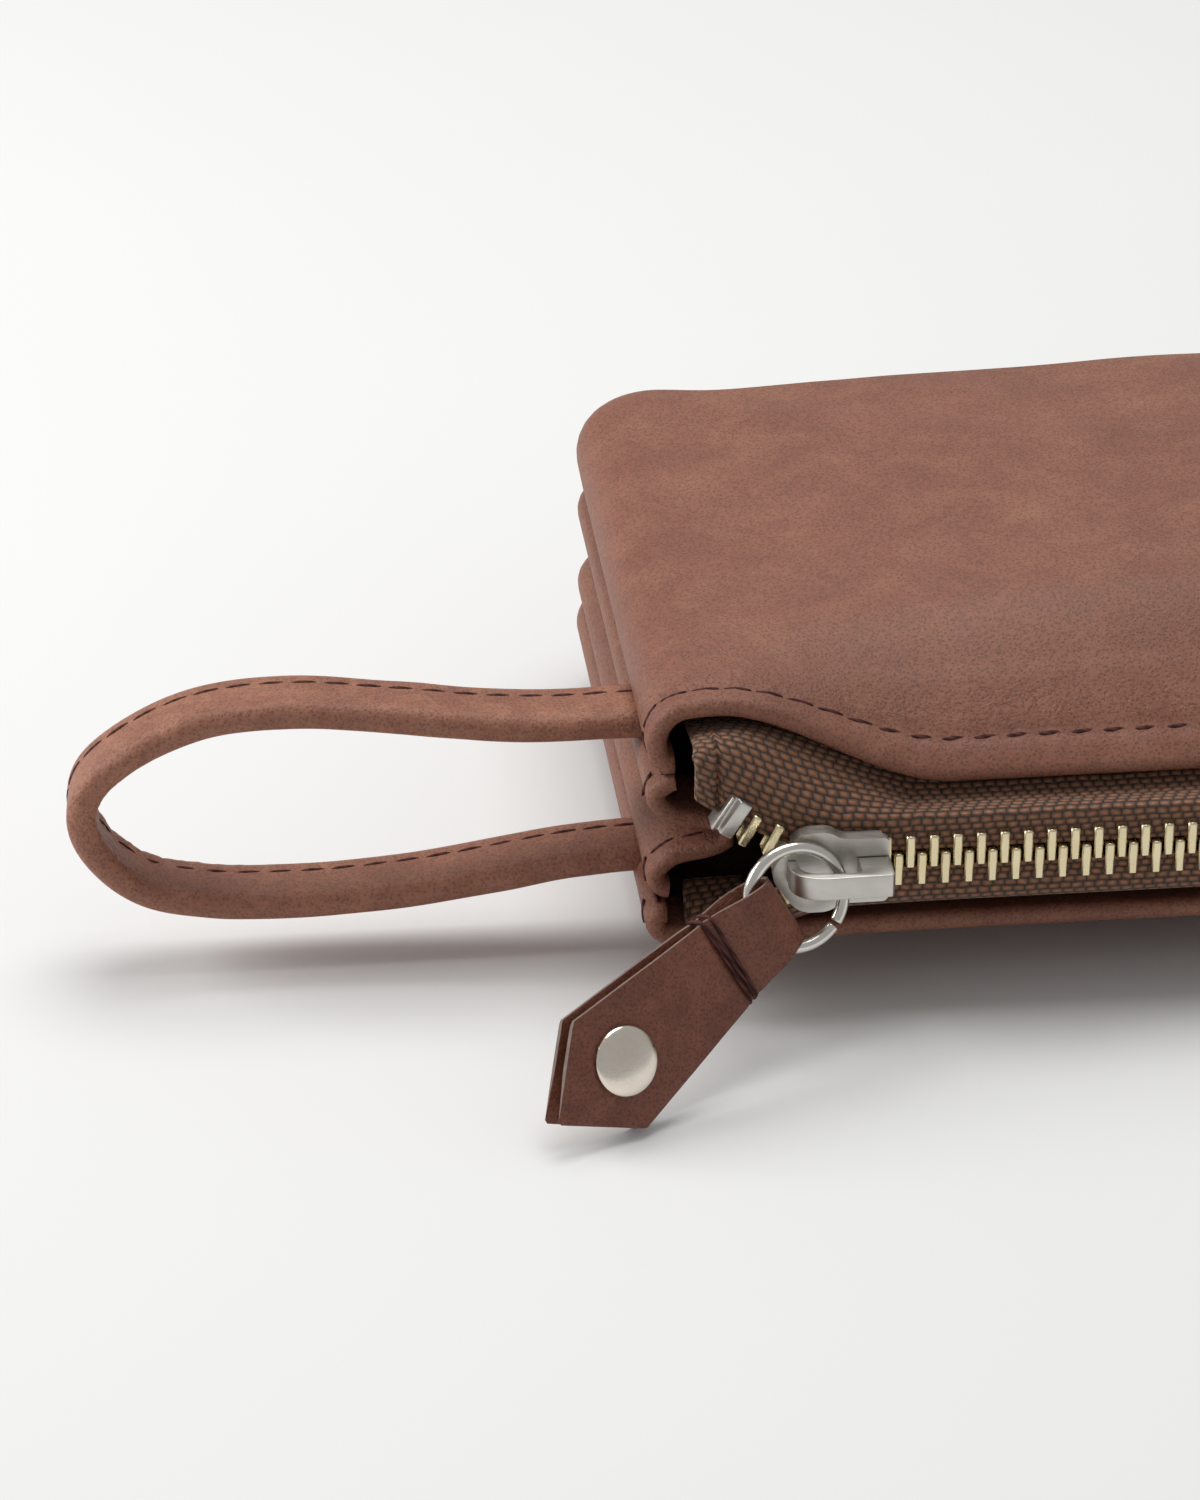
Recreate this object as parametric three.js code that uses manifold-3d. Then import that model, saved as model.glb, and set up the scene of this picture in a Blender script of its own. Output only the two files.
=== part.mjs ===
// A zippered leather pouch that lies on its back panel: two panels joined by a gusset that folds inwards
// round both sides and the back, a metal zip across the mouth, a slider with a ring and a leather pull,
// and a wrist strap sewn into the left side.
// Millimetres. +X runs along the zip, +Y from the mouth to the back, +Z up.
// The origin is the middle of the flat patch that the pouch rests on.
import * as THREE from "three";
import { mergeVertices } from "three/addons/utils/BufferGeometryUtils.js";
import Module from "manifold-3d";

const wasm = await Module();
wasm.setup();

// ---------- driving dimensions ----------
const fitGap = 0.3; // between pieces that touch on the real pouch
const runGap = 0.35; // between pieces that slide or swing past each other

const pouchLength = 200;
const frontY = -42; // front end of the side seams
const backY = 43;
const cornerRadius = 10; // of the two back corners, in plan
const panelThickness = 1.4;
const hemThickness = 2.3; // the turned edge is two layers of skived leather
const hemDepth = 8;
const gussetThickness = 1.1;
const upperSeamZ = 28.5;
const lowerSeamZ = 12.2;
const valleyDepth = 8.4; // how far the gusset folds in
const upperRollRadius = 4.64; // rolled edge of the front panel
const lowerRollRadius = 2.75; // rolled edge of the back panel
const rollStart = THREE.MathUtils.degToRad(-52); // where the rolled edge leaves the seam
const crownRise = 3.6; // of the front panel above its rolled edge
const lipReach = 1.5; // how far the lips stand in front of the side seams
const upperLipRise = 1.1; // outer face of the front panel at the middle of the mouth, above its seam
const lowerLipDrop = 3.8; // outer face of the back panel there, below its seam
const lipDepth = 18; // how far back the lips start to curve
const lipCornerInset = 7; // from the sides, where the lips start to leave the corners' height
const lipLevelInset = 34; // from the sides, where they are level
const lipCurve = 1.8; // how late the lips start to bend
const crownFlatness = 2.4; // how far out the crown stays high
const restHalfLength = 55.8; // of the flat patch, before it fades into the belly
const restHalfDepth = 18;
const hemFade = 5; // from the hem's thickness to the panel's
const valleyGapHalf = 0.7; // half the gap between the two leaves at the fold
const valleyRound = 1.5; // how far the fold's round reaches
const leafInset = 2.6; // where the two leaves start
const leafRise = 1.7; // and how far from the middle of the gusset
const bellyInset = 0.3; // of the leaves' outermost part
const bellyDrop = 4.2; // its inner end, from the seam
const shoulderDrop = 2.2; // and its outer end
const seamStep = 0.95; // from a seam to the edge of the gusset
const upperTuck = 0.3; // how far the gusset's edges lie inside the rolled edges
const lowerTuck = 0.1;

const chainReach = 5; // the middle of the chain stands this far in front of the side seams
const chainDrop = 0.85; // and this far below the middle of the gusset
const toothPitch = 2.6;
const toothWidth = 1.0;
const toothDepth = 2.3; // through the zip, front to back
const toothReach = 0.9; // past the middle of the chain
const beadInner = 1.5;
const beadOuter = 2.6;
const tapeToBead = 0.4; // from the teeth's legs
const tapeFlat = 2.5; // stays level beside the teeth, for the slider, before it turns in to the lips
const tapeThickness = 0.7;
const tapeEndThickness = 1.4; // folded under at the ends
const tapeEndClear = 2.3; // from the hems at the sides
const tapeFoldLength = 11.4; // of the tape's ends, where they turn in
const tapeHemLength = 1.5; // of the doubled strip at the very end
const tapeBend = 0.6; // the tape turns under the lip this far in front of the side seams
const tapeEndForward = 3.2; // and this much further forward at its ends
const tapeSewnDepth = 5.5; // how far behind the side seams it is sewn
const tapeUpperClear = 1.2; // under the front panel's hem
const tapeLowerClear = 1.6; // over the back panel's hem
const tapeSag = 0.3; // of its sewn edge, away from the hem
const tapeEndSag = 0.4; // and more at the ends
const tapeSlope = 0.1; // the least rise from the level part to the lip
const freeTeeth = 2; // left of the slider, on each row
const splayFromNose = 8.1; // the rows part to the left of this, from the slider's nose
const splayReach = 7.2; // of each row at the end of the tape
const splayPower = 1.6;
const chainEndInset = 10.9; // from the end of the tape

const sliderInset = 12.9; // of the closed slider's nose, from the left side
const sliderLength = 12.9;
const sliderNoseHalf = 4.85;
const sliderTailHalf = 4.0;
const noseFlatHalf = 1.9; // of the blunt front of the nose
const wingStart = 2.1; // from the nose: the widest part
const wingEnd = 6.0;
const tailStart = 7.6;
const plateThickness = 1.1;
const flangeThickness = 0.8;
const mouthOpenLength = 2.9; // of the sides, where the parted rows come in
const tailOpenHalf = 3.1; // of the back, where the closed chain goes out
const postLength = 1.5; // the wedge that parts the rows
const postHalf = 0.85;
const postTipHalf = 0.12;
const capWidth = 2.7;
const capRaise = 0.4; // of the cap's middle line above the chain's
const capHeight = 4.6; // outer face of the cap above the plate
const capThickness = 1.2;
const capNoseOffset = 1.7;
const capNoseRound = 2.4; // from the cap's nose to where its top is level
const capCorner = 0.4;
const springThickness = 0.4;
const springWidth = 1.6;
const springReach = 1.9; // of the leaf, towards the nose
const ringWire = 1.4;
const ringOuter = 12.4;
const ringSplit = THREE.MathUtils.degToRad(-41);
const ringSplitGap = 0.5;
const ringHookX = 6.9; // where the ring passes under the cap, from the slider's nose
const ringHookZ = 1.15; // and above the middle of the chain
const ringHookClear = 1.4; // between the ring and the cap
const ringYaw = THREE.MathUtils.degToRad(14);
const ringTilt = THREE.MathUtils.degToRad(16);
const ringHang = THREE.MathUtils.degToRad(26); // the ring's middle hangs this far below its hook
const pullAngle = THREE.MathUtils.degToRad(208); // round the ring
const pullLean = THREE.MathUtils.degToRad(15); // out of the ring's plane
const pullLength = 36.8;
const pullLoopBack = 4.3; // from the ring's wire to the fold
const pullFoldWidth = 6.2;
const pullNeckWidth = 10.1;
const pullNeckAt = 3.6; // bar tack, from the ring's wire
const pullShoulderWidth = 14.8;
const pullTipLength = 7.9;
const pullThickness = 2.9;
const pullLayer = 1.15;
const pullLoopClear = 0.6; // round the ring's wire, inside the loop
const loopFront = 1.2; // where the loop starts to swell, from the wire towards the tip
const loopTop = 0.9; // where it is tallest, from the wire towards the fold
const loopShoulder = 3.2; // where it turns down to the fold
const hollowFront = 1.5; // the hollow's point, from the wire
const hollowFrontHalf = 0.5;
const hollowFlatFront = 0.4;
const hollowFlatBack = 1.6;
const tackFromNeck = 1.4;
const tackWidth = 0.8;
const tackThickness = 0.4; // of the thread round the neck
const tackSideClear = 0.55;
const rivetFromTip = 10.3;
const rivetDiameter = 7.7;
const rivetDome = 1.1;
const rivetPostDiameter = 2.6;
const rivetFootInset = 0.3; // the rivet's back is this much smaller in radius
const rivetFootHeight = 0.8;

const strapWidth = 7.5;
const strapThickness = 2.9;
const strapY = -26.5;
const strapPivotReach = 4.3; // the strap turns about a line this far outside the left side
const strapUpperDrop = 0.7; // of its upper end, below the upper seam
const strapLowerDrop = 0.8; // of its lower end, below the lower seam
const strapReach = 60; // of the loop's middle line, left of the side seams
const strapRootReach = 0.6; // of its ends, outside the side
const strapEdgeStep = 0.5; // the sewn edge is pressed thinner over this width
const strapEdgePress = 0.2;
const strapEdgeBevel = 0.7;
const threadRadius = 0.22;
const frontHemThreadLift = 0.55; // off the leather
const backHemThreadLift = 0.3;
const upperSeamThread = { inset: 0.8, rise: -0.4 };
const lowerSeamThread = { inset: 0.5, rise: 0.75 };
const hemStitchAt = 2.8;

// ---------- places that follow from them ----------
const halfLength = pouchLength / 2;
const valleyZ = (upperSeamZ + lowerSeamZ) / 2;
const upperLipZ = upperSeamZ + upperLipRise;
const lowerLipZ = lowerSeamZ - lowerLipDrop;
const lipCornerStart = halfLength - lipCornerInset;
const lipCornerEnd = halfLength - lipLevelInset;
const chainY = frontY - chainReach;
const chainZ = valleyZ - chainDrop;
const tapeEnd = halfLength - hemThickness - tapeEndClear;
const chainEnd = tapeEnd - chainEndInset;
const sliderNoseX = -halfLength + sliderInset;
const splayStart = sliderNoseX + splayFromNose;
const pullLoopHeight = ringWire / 2 + pullLoopClear; // half height of the loop's hollow
const strapPivotX = -halfLength - strapPivotReach;
const strapUpperZ = upperSeamZ - strapUpperDrop;
const strapLowerZ = lowerSeamZ - strapLowerDrop;

// ---------- colours and finishes ----------
const leather = { color: 0x8f6655, roughness: 0.62, metalness: 0 };
const darkLeather = { color: 0x5f3c32, roughness: 0.6, metalness: 0 };
const tapeCloth = { color: 0x5f4632, roughness: 0.9, metalness: 0 };
const thread = { color: 0x4b2826, roughness: 0.8, metalness: 0 };
const toothMetal = { color: 0xd7c89b, roughness: 0.3, metalness: 1 };
const nickel = { color: 0xafaca5, roughness: 0.35, metalness: 1 };
const brightNickel = { color: 0xe3d9cd, roughness: 0.3, metalness: 1 };

// ---------- helpers ----------
const pouch = new THREE.Group();

function addMesh(name, geometry, finish) {
  const mesh = new THREE.Mesh(geometry, new THREE.MeshStandardMaterial(finish));
  mesh.name = name;
  pouch.add(mesh);
  return mesh;
}

function closed(geometry) {
  const bare = geometry.index ? geometry.toNonIndexed() : geometry.clone();
  bare.deleteAttribute("normal");
  bare.deleteAttribute("uv");
  return mergeVertices(bare, 1e-4);
}

function toSolid(geometry, matrix) {
  const merged = closed(geometry);
  if (matrix) merged.applyMatrix4(matrix);
  return new wasm.Manifold(
    new wasm.Mesh({
      numProp: 3,
      vertProperties: merged.attributes.position.array,
      triVerts: new Uint32Array(merged.index.array),
    }),
  );
}

function toGeometry(solid) {
  const mesh = solid.getMesh();
  const points = new Float32Array(mesh.numVert * 3);
  for (let i = 0; i < mesh.numVert; i++) {
    points.set(mesh.vertProperties.subarray(i * mesh.numProp, i * mesh.numProp + 3), i * 3);
  }
  const geometry = new THREE.BufferGeometry();
  geometry.setAttribute("position", new THREE.BufferAttribute(points, 3));
  geometry.setIndex(new THREE.BufferAttribute(mesh.triVerts, 1));
  geometry.computeVertexNormals();
  return geometry;
}

function joined(solids) {
  return solids.reduce((whole, next) => whole.add(next));
}

function blockSolid(low, high) {
  const size = new THREE.Vector3().subVectors(high, low);
  const middle = new THREE.Vector3().addVectors(low, high).multiplyScalar(0.5);
  const box = new THREE.BoxGeometry(size.x, size.y, size.z);
  return toSolid(box.translate(middle.x, middle.y, middle.z));
}

function smooth(value) {
  const t = THREE.MathUtils.clamp(value, 0, 1);
  return t * t * (3 - 2 * t);
}

// A sheet of leather or cloth: a flat box bent so that its outer face follows surface(i, j) over a grid,
// with its thickness laid on the inner side. The surface's i and j directions cross to point outwards.
function sheet(columns, rows, surface, thicknessAt) {
  const box = new THREE.BoxGeometry(1, 1, 1, columns, rows, 1);
  const geometry = closed(box);
  const position = geometry.attributes.position;
  const outer = (i, j) =>
    surface(THREE.MathUtils.clamp(i, 0, columns), THREE.MathUtils.clamp(j, 0, rows));
  for (let n = 0; n < position.count; n++) {
    const i = Math.round((position.getX(n) + 0.5) * columns);
    const j = Math.round((position.getY(n) + 0.5) * rows);
    const point = outer(i, j);
    if (position.getZ(n) < 0) {
      const along = outer(i + 1, j).sub(outer(i - 1, j));
      const across = outer(i, j + 1).sub(outer(i, j - 1));
      const inward = along.cross(across).normalize().negate();
      point.addScaledVector(inward, thicknessAt(i, j));
    }
    position.setXYZ(n, point.x, point.y, point.z);
  }
  return geometry;
}

function tube(points, radius, sides, steps) {
  const section = new THREE.Shape();
  section.absarc(0, 0, radius, 0, 2 * Math.PI, false);
  return new THREE.ExtrudeGeometry(section, {
    steps,
    curveSegments: sides,
    bevelEnabled: false,
    extrudePath: new THREE.CatmullRomCurve3(points, false, "centripetal"),
  });
}

// ---------- front and back panels ----------
const rollSteps = 4;
// Rows of the grid behind the mouth; one of them carries the hem's stitches.
const mouthRows = [0, hemStitchAt / 2, hemStitchAt, 2 * hemStitchAt, lipDepth / 2, (3 * lipDepth) / 4];

// Distances from the outside, from the seam inwards: rolled edge first, then the face.
function edgeDistances(rollRadius) {
  const list = [];
  for (let k = 0; k <= rollSteps; k++) list.push((rollRadius * k) / rollSteps);
  list.push((rollRadius + cornerRadius) / 2, cornerRadius);
  return list;
}

function panelGrid(rollRadius) {
  const edge = edgeDistances(rollRadius);
  const flatColumns = 9;
  const xs = edge.map((d) => -halfLength + d);
  const flat = 2 * (halfLength - cornerRadius);
  for (let k = 1; k < flatColumns; k++) {
    xs.push(-halfLength + cornerRadius + (flat * k) / flatColumns);
  }
  for (const d of [...edge].reverse()) xs.push(halfLength - d);
  const ys = mouthRows.map((d) => frontY + d);
  const flatRows = 6;
  for (let k = 0; k < flatRows; k++) {
    ys.push(THREE.MathUtils.lerp(frontY + lipDepth, backY - cornerRadius, k / flatRows));
  }
  for (const d of [...edge].reverse()) ys.push(backY - d);
  return { xs, ys };
}

// 1 at the ends of the mouth, 0 along its middle.
function cornerShare(x) {
  return smooth((Math.abs(x) - lipCornerEnd) / (lipCornerStart - lipCornerEnd));
}

function lipShare(y) {
  return THREE.MathUtils.clamp((frontY + lipDepth - y) / lipDepth, 0, 1) ** lipCurve;
}

function rollRise(rollRadius, angle) {
  return rollRadius * (Math.sin(angle) - Math.sin(rollStart));
}

const upperEdgeZ = upperSeamZ + rollRise(upperRollRadius, Math.PI / 2);
const lowerEdgeZ = lowerSeamZ - rollRise(lowerRollRadius, Math.PI / 2);

function crownShare(x, y) {
  const depthMiddle = (frontY + backY) / 2;
  const along = Math.min(1, Math.abs(x) / halfLength) ** crownFlatness;
  const deep = Math.min(1, Math.abs(y - depthMiddle) / ((backY - frontY) / 2)) ** crownFlatness;
  return (1 - along) * (1 - deep);
}

function upperFaceZ(x, y) {
  const face = upperEdgeZ + crownRise * crownShare(x, y);
  const lip = THREE.MathUtils.lerp(upperLipZ, upperEdgeZ, cornerShare(x));
  return THREE.MathUtils.lerp(face, lip, lipShare(y));
}

function lowerFaceZ(x, y) {
  const outX = smooth((Math.abs(x) - restHalfLength) / (halfLength - restHalfLength));
  const outY = smooth((Math.abs(y) - restHalfDepth) / (backY - restHalfDepth));
  const face = lowerEdgeZ * (1 - (1 - outX) * (1 - outY));
  const lip = THREE.MathUtils.lerp(lowerLipZ, lowerEdgeZ, cornerShare(x));
  return THREE.MathUtils.lerp(face, lip, lipShare(y));
}

// A point of a panel's outer face. up is +1 for the front panel and -1 for the back panel.
function panelPoint(grid, i, j, up) {
  const rollRadius = up > 0 ? upperRollRadius : lowerRollRadius;
  const seamZ = up > 0 ? upperSeamZ : lowerSeamZ;
  let x = grid.xs[i];
  let y = grid.ys[j];
  const fromSide = halfLength - Math.abs(x);
  const fromBack = backY - y;
  const ring = Math.min(fromSide, fromBack);
  const out = new THREE.Vector2(fromSide <= fromBack ? Math.sign(x) : 0, fromSide <= fromBack ? 0 : 1);
  if (fromSide < cornerRadius && fromBack < cornerRadius) {
    const a = cornerRadius - fromSide;
    const b = cornerRadius - fromBack;
    const reach = Math.max(a, b);
    const turn = a >= b ? (Math.PI / 4) * (b / reach) : Math.PI / 2 - (Math.PI / 4) * (a / reach);
    out.set(Math.sign(x) * Math.cos(turn), Math.sin(turn));
    x = Math.sign(x) * (halfLength - cornerRadius) + out.x * reach;
    y = backY - cornerRadius + out.y * reach;
  }
  const point = new THREE.Vector3(x, y, 0);
  if (ring < rollRadius) {
    const angle = THREE.MathUtils.lerp(rollStart, Math.PI / 2, ring / rollRadius);
    const shift = ring - rollRadius * (1 - Math.cos(angle));
    point.x += out.x * shift;
    point.y += out.y * shift;
    point.z = seamZ + up * rollRise(rollRadius, angle);
  } else {
    point.z = up > 0 ? upperFaceZ(x, y) : lowerFaceZ(x, y);
  }
  point.y -= lipReach * (1 - cornerShare(x)) * lipShare(y);
  return point;
}

function panelThicknessAt(grid, j) {
  const fromFront = grid.ys[j] - frontY;
  const share = smooth((hemDepth + hemFade / 2 - fromFront) / hemFade);
  return THREE.MathUtils.lerp(panelThickness, hemThickness, share);
}

const upperGrid = panelGrid(upperRollRadius);
const lowerGrid = panelGrid(lowerRollRadius);
const upperColumns = upperGrid.xs.length - 1;
const lowerColumns = lowerGrid.xs.length - 1;
const panelRows = upperGrid.ys.length - 1;

addMesh(
  "front_panel",
  sheet(
    upperColumns,
    panelRows,
    (i, j) => panelPoint(upperGrid, i, j, 1),
    (i, j) => panelThicknessAt(upperGrid, j),
  ),
  leather,
);
addMesh(
  "back_panel",
  sheet(
    lowerColumns,
    panelRows,
    (i, j) => panelPoint(lowerGrid, lowerColumns - i, j, -1),
    (i, j) => panelThicknessAt(lowerGrid, j),
  ),
  leather,
);

// ---------- gusset ----------
// Outer face of the strip: distance in from the outside against height, from the upper seam to the lower.
const seamInset = upperRollRadius * (1 - Math.cos(rollStart));
const gussetProfile = new THREE.CatmullRomCurve3([
  new THREE.Vector3(seamInset + upperTuck, upperSeamZ - seamStep, 0),
  new THREE.Vector3(bellyInset, upperSeamZ - shoulderDrop, 0),
  new THREE.Vector3(bellyInset, upperSeamZ - bellyDrop, 0),
  new THREE.Vector3(leafInset, valleyZ + leafRise, 0),
  new THREE.Vector3(valleyDepth - valleyRound, valleyZ + valleyGapHalf, 0),
  new THREE.Vector3(valleyDepth, valleyZ, 0),
  new THREE.Vector3(valleyDepth - valleyRound, valleyZ - valleyGapHalf, 0),
  new THREE.Vector3(leafInset, valleyZ - leafRise, 0),
  new THREE.Vector3(bellyInset, lowerSeamZ + bellyDrop, 0),
  new THREE.Vector3(bellyInset, lowerSeamZ + shoulderDrop, 0),
  new THREE.Vector3(seamInset + lowerTuck, lowerSeamZ + seamStep, 0),
]);
const gussetRows = 13;

// Stations round the left side, the back and the right side: the outline's point and its outward direction.
function outlineStations() {
  const list = [];
  const sideSteps = 6;
  const cornerSteps = 5;
  const backSteps = 8;
  const sideEnd = backY - cornerRadius;
  const backEnd = halfLength - cornerRadius;
  for (let k = 0; k < sideSteps; k++) {
    const y = THREE.MathUtils.lerp(frontY, sideEnd, k / sideSteps);
    list.push({ base: new THREE.Vector2(-backEnd, y), out: new THREE.Vector2(-1, 0) });
  }
  for (let k = 0; k <= cornerSteps; k++) {
    const turn = (Math.PI / 2) * (k / cornerSteps);
    const out = new THREE.Vector2(-Math.cos(turn), Math.sin(turn));
    list.push({ base: new THREE.Vector2(-backEnd, sideEnd), out });
  }
  for (let k = 1; k <= backSteps; k++) {
    const x = THREE.MathUtils.lerp(-backEnd, backEnd, k / backSteps);
    list.push({ base: new THREE.Vector2(x, sideEnd), out: new THREE.Vector2(0, 1) });
  }
  for (let k = 1; k <= cornerSteps; k++) {
    const turn = (Math.PI / 2) * (1 - k / cornerSteps);
    const out = new THREE.Vector2(Math.cos(turn), Math.sin(turn));
    list.push({ base: new THREE.Vector2(backEnd, sideEnd), out });
  }
  for (let k = 1; k <= sideSteps; k++) {
    const y = THREE.MathUtils.lerp(sideEnd, frontY, k / sideSteps);
    list.push({ base: new THREE.Vector2(backEnd, y), out: new THREE.Vector2(1, 0) });
  }
  return list;
}

const stations = outlineStations();

function outlinePoint(station, inset, z) {
  const reach = cornerRadius - inset;
  return new THREE.Vector3(
    station.base.x + station.out.x * reach,
    station.base.y + station.out.y * reach,
    z,
  );
}

addMesh(
  "through_gusset",
  sheet(
    stations.length - 1,
    gussetRows,
    (i, j) => {
      const p = gussetProfile.getPointAt(1 - j / gussetRows);
      return outlinePoint(stations[stations.length - 1 - i], p.x, p.y);
    },
    () => gussetThickness,
  ),
  leather,
);

// ---------- threads ----------
const threadStep = 3.2; // short enough to follow the corners
const threadFacets = 2; // of each half of a thread

function hemThread(name, grid, up, lift) {
  const row = mouthRows.indexOf(hemStitchAt);
  const points = [];
  for (let i = rollSteps; i <= grid.xs.length - 1 - rollSteps; i++) {
    points.push(panelPoint(grid, i, row, up).add(new THREE.Vector3(0, -lift, up * lift)));
  }
  addMesh(name, tube(points, threadRadius, threadFacets, 36), thread);
}

hemThread("front_hem_thread", upperGrid, 1, frontHemThreadLift);
hemThread("back_hem_thread", lowerGrid, -1, backHemThreadLift);

function seamThread(name, inset, z) {
  const points = stations.map((station) => outlinePoint(station, inset, z));
  const run = 2 * (backY - frontY) + pouchLength;
  addMesh(name, tube(points, threadRadius, threadFacets, Math.round(run / threadStep)), thread);
}

seamThread("upper_seam_thread", upperSeamThread.inset, upperSeamZ + upperSeamThread.rise);
seamThread("lower_seam_thread", lowerSeamThread.inset, lowerSeamZ + lowerSeamThread.rise);

// ---------- zip: tapes and teeth ----------
// How far a row stands away from the middle of the closed chain.
function splay(x) {
  const run = Math.max(0, splayStart - x) / (tapeEnd + splayStart);
  return splayReach * run ** splayPower;
}

function rowFrame(x, up) {
  const step = 0.05;
  const along = new THREE.Vector3(2 * step, 0, up * (splay(x + step) - splay(x - step))).normalize();
  const out = new THREE.Vector3(-up * along.z, 0, up * along.x).normalize();
  const middle = new THREE.Vector3(x, chainY, chainZ + up * splay(x));
  return { along, out, middle };
}

const tapeGap = beadOuter + tapeToBead;
// Stations along the tape, close together where it turns away from the chain and the lips rise.
const tapeSplaySteps = [0, 2, 4, 6, 8, 10.4, 13.4, 16.4, 21.4, 29.4];
const tapeStations = [
  ...tapeSplaySteps.map((d) => -tapeEnd + d),
  -tapeEnd / 3,
  0,
  tapeEnd / 3,
  ...[29.4, 21.4, 14, 8, 5, 2.5, 0].map((d) => tapeEnd - d),
];

function tapeLine(x, up) {
  const { out, middle } = rowFrame(x, up);
  const end = smooth((tapeFoldLength - tapeEnd - x) / tapeFoldLength);
  const faceZ = up > 0 ? upperFaceZ : lowerFaceZ;
  const lipClear = hemThickness + (up > 0 ? tapeUpperClear : tapeLowerClear);
  const edge = middle.clone().addScaledVector(out, tapeGap);
  const fold = middle.clone().addScaledVector(out, tapeGap + tapeFlat);
  const lipY = frontY - tapeBend - tapeEndForward * end;
  const lip = new THREE.Vector3(x, lipY, faceZ(x, frontY) - up * lipClear);
  lip.z = up > 0 ? Math.max(lip.z, fold.z + tapeSlope) : Math.min(lip.z, fold.z - tapeSlope);
  const sewnY = frontY + tapeSewnDepth;
  const sewnClear = lipClear + tapeSag + tapeEndSag * end;
  const inner = new THREE.Vector3(x, sewnY, faceZ(x, sewnY) - up * sewnClear);
  return [edge, fold, lip, inner];
}

function tape(name, up) {
  const last = tapeStations.length - 1;
  const surface = (i, j) => {
    const x = tapeStations[up > 0 ? i : last - i];
    return tapeLine(x, up)[j].clone().add(new THREE.Vector3(0, -tapeThickness / 2, 0));
  };
  const thickness = (i) => {
    const x = Math.abs(tapeStations[up > 0 ? i : last - i]);
    return x > tapeEnd - tapeHemLength ? tapeEndThickness : tapeThickness;
  };
  addMesh(name, sheet(last, 3, surface, thickness), tapeCloth);
}

tape("front_zip_tape", 1);
tape("back_zip_tape", -1);

function placed(frame, low, high) {
  const basis = new THREE.Matrix4().makeBasis(frame.along, new THREE.Vector3(0, 1, 0), frame.out);
  if (basis.determinant() < 0) {
    basis.makeBasis(frame.along.clone().negate(), new THREE.Vector3(0, 1, 0), frame.out);
  }
  basis.setPosition(frame.middle);
  const size = new THREE.Vector3().subVectors(high, low);
  const middle = new THREE.Vector3().addVectors(low, high).multiplyScalar(0.5);
  const box = new THREE.BoxGeometry(size.x, size.y, size.z).translate(middle.x, middle.y, middle.z);
  return toSolid(box, basis);
}

// A row is a comb: the teeth stand on the bead of the tape, and a row's teeth fit between the other's.
function toothRow(name, up) {
  const shift = up > 0 ? 0 : toothPitch / 2;
  const firstX = sliderNoseX - 0.1 - toothPitch * (freeTeeth - 1) + shift;
  const outline = [];
  const back = [];
  const add = (list, x, side, reach) => {
    const { along, out, middle } = rowFrame(x, up);
    const point = middle.clone().addScaledVector(along, side).addScaledVector(out, reach);
    list.push(new THREE.Vector2(point.x, point.z));
  };
  for (let x = firstX; x <= chainEnd; x += toothPitch) {
    add(outline, x, -toothWidth / 2, beadInner);
    add(outline, x, -toothWidth / 2, -toothReach);
    add(outline, x, toothWidth / 2, -toothReach);
    add(outline, x, toothWidth / 2, beadInner);
    if (x < splayStart || x + toothPitch > chainEnd || back.length === 0) {
      add(back, x, -toothWidth / 2, beadOuter);
      add(back, x, toothWidth / 2, beadOuter);
    }
  }
  const comb = new THREE.ExtrudeGeometry(new THREE.Shape([...outline, ...back.reverse()]), {
    depth: toothDepth,
    bevelEnabled: false,
  });
  comb.rotateX(Math.PI / 2).translate(0, chainY + toothDepth / 2, 0);
  addMesh(name, comb, toothMetal);
}

toothRow("front_tooth_row", 1);
toothRow("back_tooth_row", -1);

// A stop is a clamp folded over the tape's edge beyond the last tooth.
const stopLength = 2.6;
const stopDepth = toothDepth + 0.6;
const stopReach = 0.5;
const stopRoot = 3.9;
const stopToTooth = 0.7;
const stopSlotClear = 0.6; // round the tape, in the clamp's slot
const bottomStopLength = 3;
const bottomStopFromTooth = 3.2;
const bottomSlotClear = 0.45;
const cutPast = 1; // how far a cut runs past the solid it cuts

function topStop(name, up) {
  const shift = up > 0 ? 0 : toothPitch / 2;
  const fromTooth = toothWidth / 2 + stopLength / 2 + stopToTooth;
  const x = sliderNoseX - toothPitch * (freeTeeth - 1) + shift - fromTooth;
  const frame = rowFrame(x, up);
  const clamp = placed(
    frame,
    new THREE.Vector3(-stopLength / 2, -stopDepth / 2, -stopReach),
    new THREE.Vector3(stopLength / 2, stopDepth / 2, stopRoot),
  );
  const slotHalf = tapeThickness / 2 + stopSlotClear;
  const slot = placed(
    frame,
    new THREE.Vector3(-stopLength, -slotHalf, beadOuter),
    new THREE.Vector3(stopLength, slotHalf, stopRoot + cutPast),
  );
  addMesh(name, toGeometry(clamp.subtract(slot)), nickel);
}

topStop("front_top_stop", 1);
topStop("back_top_stop", -1);

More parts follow.
